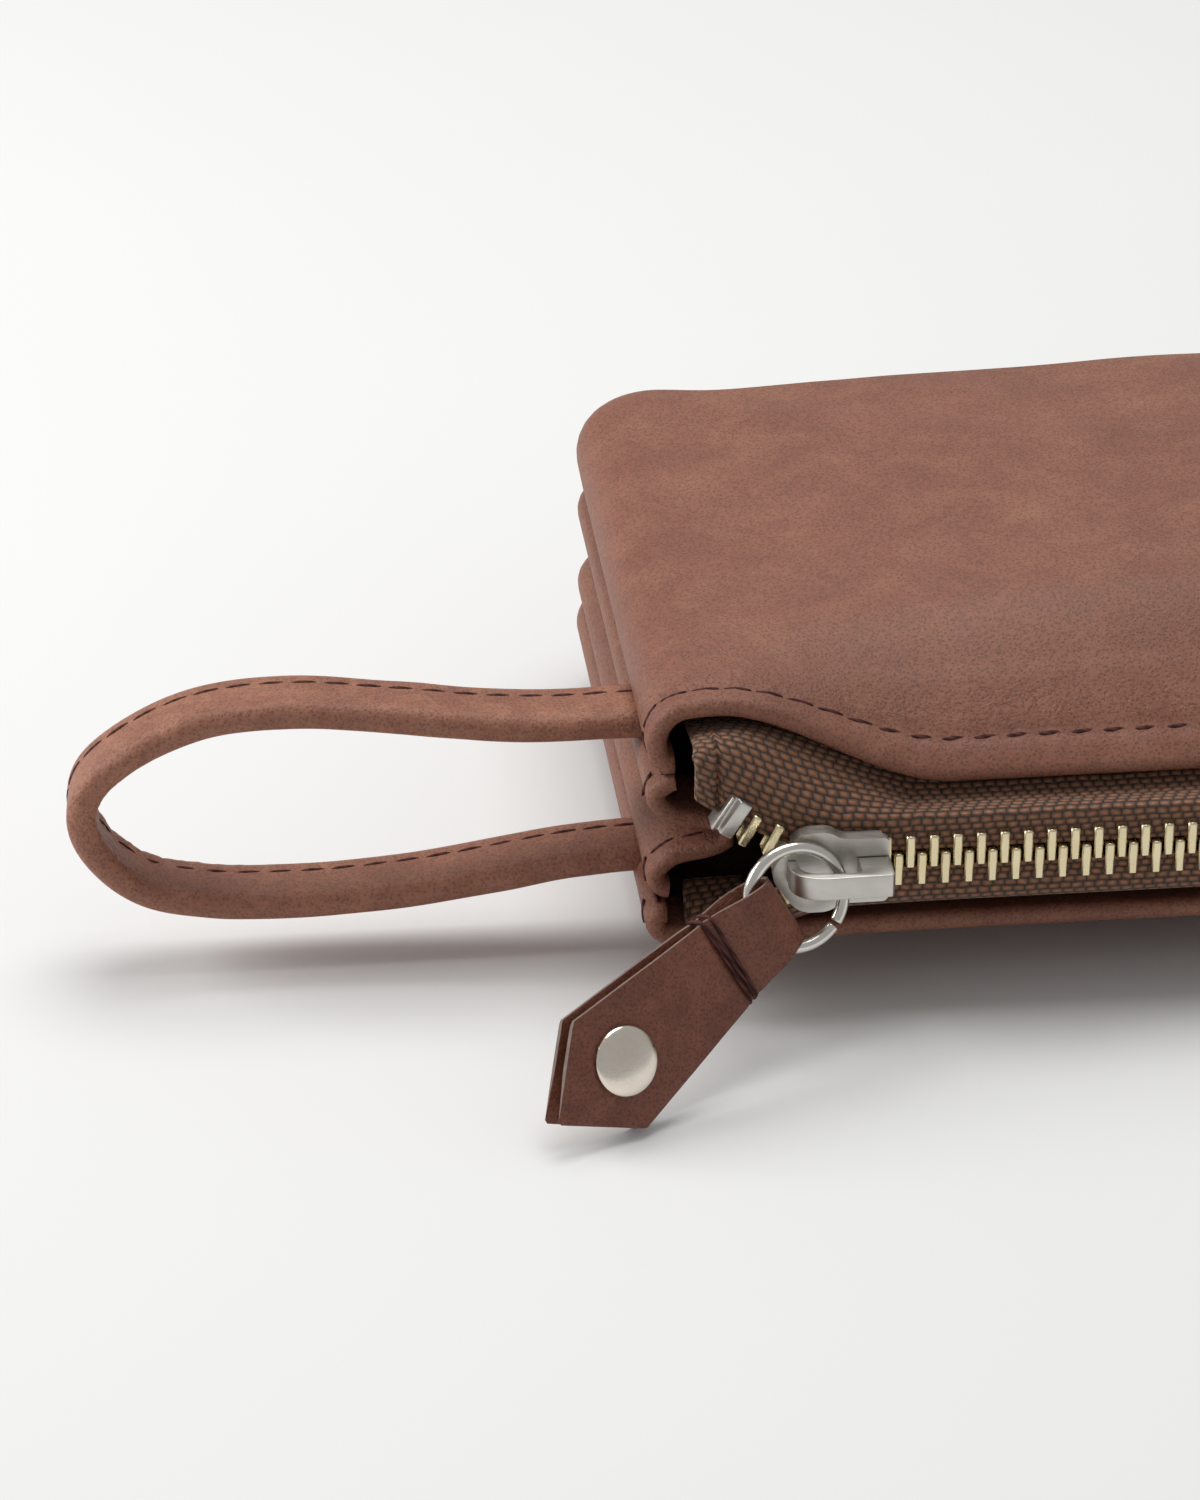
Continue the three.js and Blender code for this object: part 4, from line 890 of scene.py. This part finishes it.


# One tooth: a single rounded block, with a nib on one side and a socket on the other.
def toothShape():
    bm = bmesh.new()
    half, depth = zipper["toothWidth"] / 2, zipper["toothDepth"] / 2
    addBlock(bm, (-half, -depth, -zipper["toothReach"]), (half, depth, zipper["toothRoot"]))
    roundEdges(bm, 0.2, 1)
    socket = min(bm.faces, key=lambda f: f.normal.x)
    bmesh.ops.inset_individual(bm, faces=[socket], thickness=0.25)
    bmesh.ops.translate(bm, vec=(0.18, 0, -0.2), verts=list(socket.verts))
    nib = Matrix.Translation((half - 0.05, 0, -0.35)) @ Matrix.Diagonal((0.25, 0.7, 0.35, 1))
    bmesh.ops.create_uvsphere(bm, u_segments=6, v_segments=4, radius=1, matrix=nib)
    mesh = bpy.data.meshes.new("tooth")
    bm.to_mesh(mesh)
    bm.free()
    return mesh


def rowPlace(x, up):
    along, out, middle = rowFrame(x, up)
    across = out.cross(along)
    place = Matrix((along, across, out)).transposed().to_4x4()
    place.translation = middle
    return place


def addCopy(bm, mesh, place):
    before = len(bm.verts)
    bm.from_mesh(mesh)
    bm.verts.ensure_lookup_table()
    bmesh.ops.transform(bm, matrix=place, verts=bm.verts[before:])


def makeTeeth(name, up, stands):
    tooth = toothShape()
    bm = bmesh.new()
    x = zipper["firstTooth"] + (0 if up > 0 else zipper["pitch"] / 2)
    while x <= zipper["chainEnd"]:
        addCopy(bm, tooth, rowPlace(x, up))
        x += zipper["pitch"]
    finishPiece(bm, name, "pouch", [paleBrass], stands, sharp=40)
    bpy.data.meshes.remove(tooth)


makeTeeth("upperTeeth", 1, ["front_tooth_row"])
makeTeeth("lowerTeeth", -1, ["back_tooth_row"])


# Extrudes a flat outline, given as points in x and z, from one depth to another.
def extrudeOutline(bm, points, lowY, highY):
    verts = [bm.verts.new((x, lowY, z)) for x, z in points]
    face = bm.faces.new(verts)
    grown = bmesh.ops.extrude_face_region(bm, geom=[face])["geom"]
    moved = vertsIn(grown)
    bmesh.ops.translate(bm, vec=(0, highY - lowY, 0), verts=moved)
    return verts + moved


stop = {
    "length": 2.6,
    "depth": 2.9,
    "reach": 0.5,
    "root": 3.9,
    "toTooth": 2.5,
    "groove": [(0.3, 0), (0.55, 0.7), (0.95, 0.7), (1.15, 0)],  # from the front corner
    "bottomHalfLength": 1.5,
    "bottomFromChain": 3.2,
}


# A clamp of pressed wire: the groove near its outer end is where the wire's two legs were
# squeezed together.
def makeTopStop(name, up, stands):
    bm = bmesh.new()
    long, deep = stop["length"] / 2, stop["depth"] / 2
    groove = [(x - long, z - deep) for x, z in stop["groove"]]
    shape = [(-long, -deep), *groove, (long, -deep), (long, deep), (-long, deep)]
    extrudeOutline(bm, shape, -stop["root"], stop["reach"])
    faceOut(bm)
    bmesh.ops.rotate(bm, verts=bm.verts, matrix=Matrix.Rotation(-math.pi / 2, 3, "X"))
    roundEdges(bm, 0.16, 3)
    x = zipper["firstTooth"] + (0 if up > 0 else zipper["pitch"] / 2) - stop["toTooth"]
    bmesh.ops.transform(bm, matrix=rowPlace(x, up), verts=bm.verts)
    faceOut(bm)
    finishPiece(bm, name, "pouch", [satinNickel], stands, sharp=40)


makeTopStop("upperTopStop", 1, ["front_top_stop"])
makeTopStop("lowerTopStop", -1, ["back_top_stop"])


def makeBottomStop():
    bm = bmesh.new()
    half = Vector((stop["bottomHalfLength"], stop["depth"] / 2, stop["root"]))
    addBlock(bm, -half, half)
    roundEdges(bm, 0.42, 3)
    pressed = [f for f in bm.faces if f.calc_area() > 1 and abs(f.normal.y) > 0.9]
    bmesh.ops.inset_individual(bm, faces=pressed, thickness=0.45, depth=-0.16)
    bmesh.ops.translate(bm, verts=bm.verts, vec=(
        zipper["chainEnd"] + stop["bottomFromChain"], zipper["y"], zipper["z"]))
    finishPiece(bm, "bottomStop", "pouch", [satinNickel], ["bottom_stop"], sharp=40)


makeBottomStop()
print("zip: tapes, teeth and stops")

slider = {
    "noseX": -87.1,
    "length": 12.9,
    "plateIn": 1.5,
    "plateOut": 2.6,
    "flange": 0.8,
    "slot": 0.7,
    "outline": [(0.15, 0.8), (1.3, 2.5), (2.5, 4.2), (3.7, 4.9), (6.3, 4.9), (7.7, 3.95), (12.9, 3.9)],
    "cornerRound": 0.9,
    "pinRadius": 0.95,
    "pinX": 1.25,  # from the nose
    "capStart": 1.7,
    "capWidth": 2.7,
    "capRaise": 0.4,
    "capHeight": 4.6,
    "capThickness": 1.2,
    "footLength": 3.5,
    "wall": 0.3,
}


def makeSliderBody():
    bm = bmesh.new()
    half = slider["outline"]
    whole = half + [(x, -z) for x, z in half[::-1]]
    extrudeOutline(bm, whole, -slider["plateOut"], -slider["plateIn"])
    faceOut(bm)
    corners = [e for e in sharpEdges(bm, 15) if abs(e.verts[0].co.y - e.verts[1].co.y) > 0.5]
    bmesh.ops.bevel(bm, geom=corners, offset=slider["cornerRound"], offset_type="OFFSET", affect="EDGES",
                    segments=4, profile=0.5, material=-1, clamp_overlap=True)
    inner = max(bm.faces, key=lambda f: f.normal.y * f.calc_area())
    rim = bmesh.ops.inset_region(bm, faces=[inner], thickness=slider["flange"], use_even_offset=True)["faces"]
    middles = {f: f.calc_center_median() for f in rim}
    walls = [f for f in rim if 2.4 < middles[f].x < 12.2 and abs(middles[f].z) > 2.5]  # open at both ends
    grown = bmesh.ops.extrude_face_region(bm, geom=walls)["geom"]
    bmesh.ops.translate(bm, vec=(0, slider["plateIn"] - slider["slot"], 0), verts=vertsIn(grown))
    bmesh.ops.delete(bm, geom=walls, context="FACES")
    roundEdges(bm, 0.22, 3, 50)
    twin = bmesh.ops.duplicate(bm, geom=bm.verts[:] + bm.edges[:] + bm.faces[:])["geom"]
    bmesh.ops.scale(bm, vec=(1, -1, 1), verts=vertsIn(twin))
    # the post that parts the teeth, with its round nose
    upright = Matrix.Translation((slider["pinX"], 0, 0)) @ Matrix.Rotation(math.pi / 2, 4, "X")
    pin = bmesh.ops.create_cone(
        bm, cap_ends=True, segments=20, radius1=slider["pinRadius"], radius2=slider["pinRadius"],
        depth=2 * slider["plateIn"] + 0.6, matrix=upright)
    bmesh.ops.scale(bm, vec=(1.3, 1, 0.8), verts=pin["verts"])
    bmesh.ops.translate(bm, vec=(slider["noseX"], zipper["y"], zipper["z"]), verts=bm.verts)
    faceOut(bm)
    return finishPiece(bm, "sliderBody", "slider", [satinNickel], ["slider_body"], sharp=40)


def makeCap():
    height, thick, tail = slider["capHeight"], slider["capThickness"], slider["length"]
    foot = tail - slider["footLength"]
    start = slider["capStart"]
    top, under = height - thick, 0.2  # the underside of the bridge, and of the feet
    outer = [(start, under), (start + 0.1, 2.2), (start + 1.0, height - 0.9), (start + 2.9, height - 0.05),
             (start + 5.2, height)]
    inner = [(start + 1.0, under), (start + 1.15, 2.0), (start + 2.0, top - 0.45), (start + 3.5, top),
             (foot - 0.2, top)]
    points = smoothLine([Vector((x, z, 0)) for x, z in outer], 12)
    points += [Vector((x, z, 0)) for x, z in (
        (tail - 0.3, height - 0.12), (tail, height - 0.5), (tail, under), (foot, under), (foot, top - 0.2))]
    points += smoothLine([Vector((x, z, 0)) for x, z in inner], 10)[::-1]
    bm = bmesh.new()
    verts = [bm.verts.new((p.x, -p.y, 0)) for p in points]
    face = bm.faces.new(verts)
    grown = bmesh.ops.extrude_face_region(bm, geom=[face])["geom"]
    moved = vertsIn(grown)
    bmesh.ops.translate(bm, vec=(0, 0, slider["capWidth"]), verts=moved)
    faceOut(bm)
    # the pocket under the foot, which holds the lock spring
    sole = max((f for f in bm.faces if f.calc_center_median().x > foot + 1), key=lambda f: f.normal.y)
    bmesh.ops.inset_individual(bm, faces=[sole], thickness=slider["wall"])
    grown = bmesh.ops.extrude_face_region(bm, geom=[sole])["geom"]
    bmesh.ops.translate(bm, vec=(0, under - top, 0), verts=vertsIn(grown))
    bmesh.ops.delete(bm, geom=[sole], context="FACES")
    roundEdges(bm, 0.2, 3, 50)
    bmesh.ops.translate(bm, verts=bm.verts, vec=(
        slider["noseX"], zipper["y"] - slider["plateOut"],
        zipper["z"] + slider["capRaise"] - slider["capWidth"] / 2))
    faceOut(bm)
    return finishPiece(bm, "sliderCap", "slider", [satinNickel], ["slider_cap"], sharp=40)


makeSliderBody()
makeCap()
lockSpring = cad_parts["lock_spring"]
lockSpring.data.materials.clear()
lockSpring.data.materials.append(satinNickel)
print("slider")

ring = {
    "wire": 1.4,
    "outer": 12.4,
    "split": math.radians(-41),  # where the wire's ends meet, round the ring
    "gap": 0.5,
    "hook": (6.9, 1.15),  # from the slider's nose, and above the chain
    "hookClear": 1.4,  # from the bridge of the cap
    "yaw": math.radians(14),
    "tilt": math.radians(16),
    "hang": math.radians(26),
}
ringRadius = (ring["outer"] - ring["wire"]) / 2
ringNormal = Vector((
    math.sin(ring["yaw"]) * math.cos(ring["tilt"]), -math.cos(ring["yaw"]) * math.cos(ring["tilt"]),
    math.sin(ring["tilt"])))
ringUp = (Vector((0, 0, 1)) - ringNormal * ringNormal.z).normalized()
ringRight = ringUp.cross(ringNormal)


def onRing(angle):
    return (ringRight * math.cos(angle) + ringUp * math.sin(angle)) * ringRadius


ringHook = Vector((
    slider["noseX"] + ring["hook"][0],
    zipper["y"] - slider["plateOut"] - slider["capHeight"] + slider["capThickness"]
    + ring["wire"] / 2 + ring["hookClear"],
    zipper["z"] + ring["hook"][1]))
ringMiddle = ringHook - onRing(ring["hang"])


def makeRing():
    bm = bmesh.new()
    start = ring["split"] + ring["gap"] / 2 / ringRadius
    turn = math.tau - ring["gap"] / ringRadius
    place = Matrix((ringRight, ringUp, ringNormal)).transposed().to_4x4()
    place.translation = ringMiddle
    spoke = Matrix.Rotation(start, 4, "Z") @ Matrix.Translation((ringRadius, 0, 0))
    spoke = spoke @ Matrix.Rotation(math.pi / 2, 4, "X")
    bmesh.ops.create_circle(bm, cap_ends=True, segments=20, radius=ring["wire"] / 2, matrix=spoke)
    bmesh.ops.spin(bm, geom=bm.verts[:] + bm.edges[:] + bm.faces[:], cent=(0, 0, 0), axis=(0, 0, 1),
                   dvec=(0, 0, 0), angle=turn, steps=110, use_merge=False, use_duplicate=False)
    bmesh.ops.holes_fill(bm, edges=[e for e in bm.edges if e.is_boundary], sides=0)
    faceOut(bm)
    roundEdges(bm, 0.14, 2, 60)
    bmesh.ops.transform(bm, matrix=place, verts=bm.verts)
    faceOut(bm)
    finishPiece(bm, "pullRing", "ring", [ringNickel], ["pull_ring"], sharp=50)


makeRing()

pull = {
    "angle": math.radians(208),  # round the ring
    "lean": math.radians(15),
    "length": 36.8,
    "loopBack": 4.3,
    "foldWidth": 7.4,
    "neckWidth": 10.1,
    "neckAt": 3.6,
    "tipWidth": 0.5,
    "shoulderWidth": 14.8,
    "tipLength": 7.9,
    "half": 1.45,
    "loopHalf": 2.45,
    "layer": 1.44,
    "tackAt": 5.3,
    "tackTurns": [(-0.55, 0.25), (0.1, -0.2), (0.6, 0.1)],  # place of each turn of thread, and its lean
    "tackThread": 0.21,
    "pinch": (0.32, 0.9),  # how far the tack pulls the leather in, and over what width
    "rivetFromTip": 10.3,
    "rivetRadius": 3.85,
    "rivetDome": 1.1,
    "postRadius": 1.3,
    "backDome": 0.8,
    "rim": (0.25, 0.22),  # the turned edge of the caps
}
pullWire = ringRight * -math.sin(pull["angle"]) + ringUp * math.cos(pull["angle"])
pullAlong = onRing(pull["angle"]).normalized() * math.cos(pull["lean"]) + ringNormal * math.sin(pull["lean"])
pullFace = pullAlong.cross(pullWire)
pullPlace = Matrix((pullAlong, pullWire, pullFace)).transposed().to_4x4()
pullPlace.translation = ringMiddle + onRing(pull["angle"])
pullTip = pull["length"] - pull["loopBack"]


def pullWidth(x):
    shoulder = pullTip - pull["tipLength"]
    neck, back = pull["neckAt"], pull["loopBack"]
    if x > shoulder:
        return mix(pull["shoulderWidth"], pull["tipWidth"], (x - shoulder) / pull["tipLength"])
    if x > neck:
        return mix(pull["neckWidth"], pull["shoulderWidth"], (x - neck) / (shoulder - neck))
    return mix(pull["foldWidth"], pull["neckWidth"], max(0.0, (x + back) / (neck + back)))


def makePullTab():
    half, loop, back = pull["half"], pull["loopHalf"], pull["loopBack"]
    run = [(pullTip, half), (pullTip - 6, half), (16, half), (8, half), (5.3, half - 0.12), (3.4, half + 0.1),
           (1.2, loop - 0.25), (-0.9, loop), (-3.2, loop * 0.78), (-back, 0)]
    route = [Vector((x, 0, z)) for x, z in run]
    route += [Vector((x, 0, -z)) for x, z in run[-2::-1]]
    columns, rows = 190, 14
    line = smoothLine(route, columns)

    def place(i, j):
        p = line[i]
        share = j / rows * 2 - 1
        pinch = pull["pinch"][0] * bell(p.x - pull["tackAt"], pull["pinch"][1]) * (1 - 0.25 * abs(share))
        crown = 0.10 * noise.noise(Vector((p.x / 5, share * 1.4, p.z))) - pinch
        return Vector((p.x, share * pullWidth(p.x) / 2, p.z + math.copysign(1, p.z) * crown))

    def crease(i, j):
        return 0.8 * bell(line[i].x + 1.5, 4.0)

    bm = bentGrid(columns, rows, place, crease)
    faceOutward(bm, lambda middle: Vector((0, 0, 1 if middle.z > 0 else -1)))
    bmesh.ops.transform(bm, matrix=pullPlace, verts=bm.verts)
    piece = finishPiece(bm, "pullTab", "pull", [pullLeather, edgePaint], ["pull_tab"],
                        sharp=60)
    thicken(piece, pull["layer"], 0.16, 2, rim=1)


makePullTab()


# One closed turn of thread laid along points.
def addTurn(bm, points, radius, sides):
    loops = []
    for k, p in enumerate(points):
        ahead = points[(k + 1) % len(points)]
        place = (ahead - points[k - 1]).to_track_quat("Z", "Y").to_matrix().to_4x4()
        place.translation = p
        circle = bmesh.ops.create_circle(
            bm, cap_ends=False, segments=sides, radius=radius, matrix=place)["verts"]
        loops.append(list({e for v in circle for e in v.link_edges}))
    for a, b in zip(loops, loops[1:] + loops[:1]):
        bmesh.ops.bridge_loops(bm, edges=a + b)


def makeBarTack():
    bm = bmesh.new()
    for shift, lean in pull["tackTurns"]:
        x = pull["tackAt"] + shift
        wide = pullWidth(x) / 2 + 0.18
        tall = pull["half"] + 0.02
        points = []
        for k in range(40):
            turn = math.tau * k / 40
            y = math.copysign(abs(math.cos(turn)) ** 0.35, math.cos(turn)) * wide
            z = math.copysign(abs(math.sin(turn)) ** 0.35, math.sin(turn)) * tall
            points.append(Vector((x + lean * y / wide, y, z)))
        addTurn(bm, points, pull["tackThread"], 8)
    faceOut(bm)
    bmesh.ops.transform(bm, matrix=pullPlace, verts=bm.verts)
    finishPiece(bm, "pullBarTack", "pull", [stitchThread], ["pull_bar_tack"], sharp=180)


# A cap or post of the rivet, spun from half its outline.
def makeRivetPart(name, profile, stands):
    bm = bmesh.new()
    verts = [bm.verts.new((r, 0, z)) for r, z in profile]
    edges = [bm.edges.new(pair) for pair in zip(verts, verts[1:])]
    bmesh.ops.spin(bm, geom=verts + edges, cent=(0, 0, 0), axis=(0, 0, 1), dvec=(0, 0, 0), angle=math.tau,
                   steps=64, use_merge=True, use_duplicate=False)
    bmesh.ops.remove_doubles(bm, verts=bm.verts, dist=0.001)
    faceOut(bm)
    bmesh.ops.translate(bm, vec=(pullTip - pull["rivetFromTip"], 0, 0), verts=bm.verts)
    bmesh.ops.transform(bm, matrix=pullPlace, verts=bm.verts)
    finishPiece(bm, name, "pull", [rivetNickel], stands, sharp=40)


def dome(radius, base, rise, count=9):
    rim, rimHeight = pull["rim"]
    profile = [(0, base), (radius - rim, base), (radius, base + rimHeight)]
    for k in range(1, count + 1):
        turn = math.pi / 2 * k / count
        profile.append((radius * math.cos(turn), base + rimHeight + (rise - rimHeight) * math.sin(turn)))
    return profile[:-1] + [(0, base + rise)]


makeBarTack()
faceHeight = pull["half"] + 0.05
postRadius = pull["postRadius"]
makeRivetPart("rivetCap", dome(pull["rivetRadius"], faceHeight, pull["rivetDome"]), ["pull_rivet_cap"])
postProfile = [(0, faceHeight - 0.2), (postRadius, faceHeight - 0.2), (postRadius, -faceHeight)]
postProfile += [(r, -z) for r, z in dome(pull["rivetRadius"] - 0.3, faceHeight, pull["backDome"])[1:]]
makeRivetPart("rivetPost", postProfile, ["pull_rivet_post"])
print("ring, pull and rivet")

strap = {
    "y": -26.5,
    "width": 8.6,
    "thickness": 3.15,
    "stitchAt": 1.9,  # from the back edge
    "bendAt": 0.56,  # along it, where the loop is tightest
    "bendSpan": 0.09,
    "heldX": -100.2,  # sewn fast up to here
    "freeX": -116.0,  # and fully swung from here
    "middleZ": 19.6,
    "route": [
        (-98.4, 28.3), (-100.6, 28.4), (-108.3, 28.3), (-116, 28.8), (-126, 30.2), (-138, 31.5), (-148, 30.6),
        (-155.9, 27.1), (-160.5, 22.9), (-161.4, 19.2), (-159.7, 14.8), (-155, 10.3), (-147.6, 8.3),
        (-138, 7.7), (-126, 8.3), (-115, 9.8), (-107.3, 11.0), (-100.6, 11.5), (-98.4, 11.5)],
}


# Its outline as width and thickness: round at the folded front edge, with two cut edges at the back.
def strapSection():
    half, edge = strap["width"] / 2, strap["thickness"] / 2
    turns = steps(-math.pi / 2, math.pi / 2, 12)
    front = [(-half + edge - edge * math.cos(t), edge * 1.06 * math.sin(t)) for t in turns]
    top = [(-half + edge, edge * 1.05), (-1.0, edge), (0.4, edge * 0.97),
           (half - strap["stitchAt"], edge * 0.86), (half - 0.9, edge * 0.93), (half - 0.25, edge * 0.86),
           (half, edge * 0.55), (half, 0.14), (half - 0.5, 0.03)]
    return front + top + [(w, -t) for w, t in top[:0:-1]]


# Away from the loop's middle, at a point of its line.
def strapOut(line, k):
    along = (line[min(k + 1, len(line) - 1)] - line[max(k - 1, 0)]).normalized()
    return Vector((0, 1, 0)).cross(along)


def makeStrap():
    line = smoothLine([Vector((x, strap["y"], z)) for x, z in strap["route"]], 230)
    section = strapSection()
    bm = bmesh.new()
    creases = bm.verts.layers.float.new("crease")
    rings = []
    for k, p in enumerate(line):
        out = strapOut(line, k)
        share = k / (len(line) - 1)
        verts = []
        for w, t in section:
            inner = eased(-t * 2)
            bent = bell(share - strap["bendAt"], strap["bendSpan"])
            spot = Vector((share * 150, w * 0.35, 3))
            wrinkle = 0.5 * bent * inner * noise.noise(spot)
            wrinkle += 0.1 * noise.noise(Vector((share * 30, w / 3, t)))
            thick = t * (1 + 0.04 * noise.noise(spot / 8)) - wrinkle * 0.5
            vert = bm.verts.new(p + Vector((0, w, 0)) + out * thick)
            vert[creases] = 0.25 + 0.7 * bent
            verts.append(vert)
        rings.append(verts)
    for a, b in zip(rings, rings[1:]):
        count = len(a)
        for n in range(count):
            bm.faces.new((a[n], a[(n + 1) % count], b[(n + 1) % count], b[n]))
    bm.faces.new(rings[0])
    bm.faces.new(rings[-1])
    faceOut(bm)
    piece = finishPiece(bm, "wristStrap", None, [strapLeather], ["wrist_strap"], sharp=70)
    return piece, line


def strapStitches(name, line, sideways):
    path = []
    for k, p in enumerate(line):
        out = strapOut(line, k) * sideways
        w = strap["width"] / 2 - strap["stitchAt"]
        path.append((p + Vector((0, w, 0)) + out * strap["thickness"] / 2 * 0.86, out))
    return stitchRow(name, path, hemStitch, None)


strapPiece, strapLine = makeStrap()
for piece in (strapPiece, strapStitches("strapStitchesOutside", strapLine, 1),
              strapStitches("strapStitchesInside", strapLine, -1)):
    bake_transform(piece)
print("wrist strap")


def makeFloor():
    m = startMaterial("paleMattePaper")
    place = addNode(m, "TexCoord").outputs["Object"]
    fibre = addNode(m, "TexNoise", {"Vector": place, "Scale": 1 / (90 * mm), "Detail": 2.0})
    tone = addNode(m, "Mix", {
        0: fibre, 6: hexColour("e4e4e3"), 7: hexColour(studio["floorColour"])}, data_type="RGBA")
    finishMaterial(m, {"Base Color": tone, "Roughness": 0.9, "Specular IOR Level": 0.1})
    bm = bmesh.new()
    bmesh.ops.create_grid(bm, x_segments=1, y_segments=1, size=studio["floorSize"] / 2 * mm)
    mesh = bpy.data.meshes.new("floor")
    bm.to_mesh(mesh)
    bm.free()
    mesh.materials.append(m)
    floor = link(bpy.data.objects.new("floor", mesh))


makeFloor()
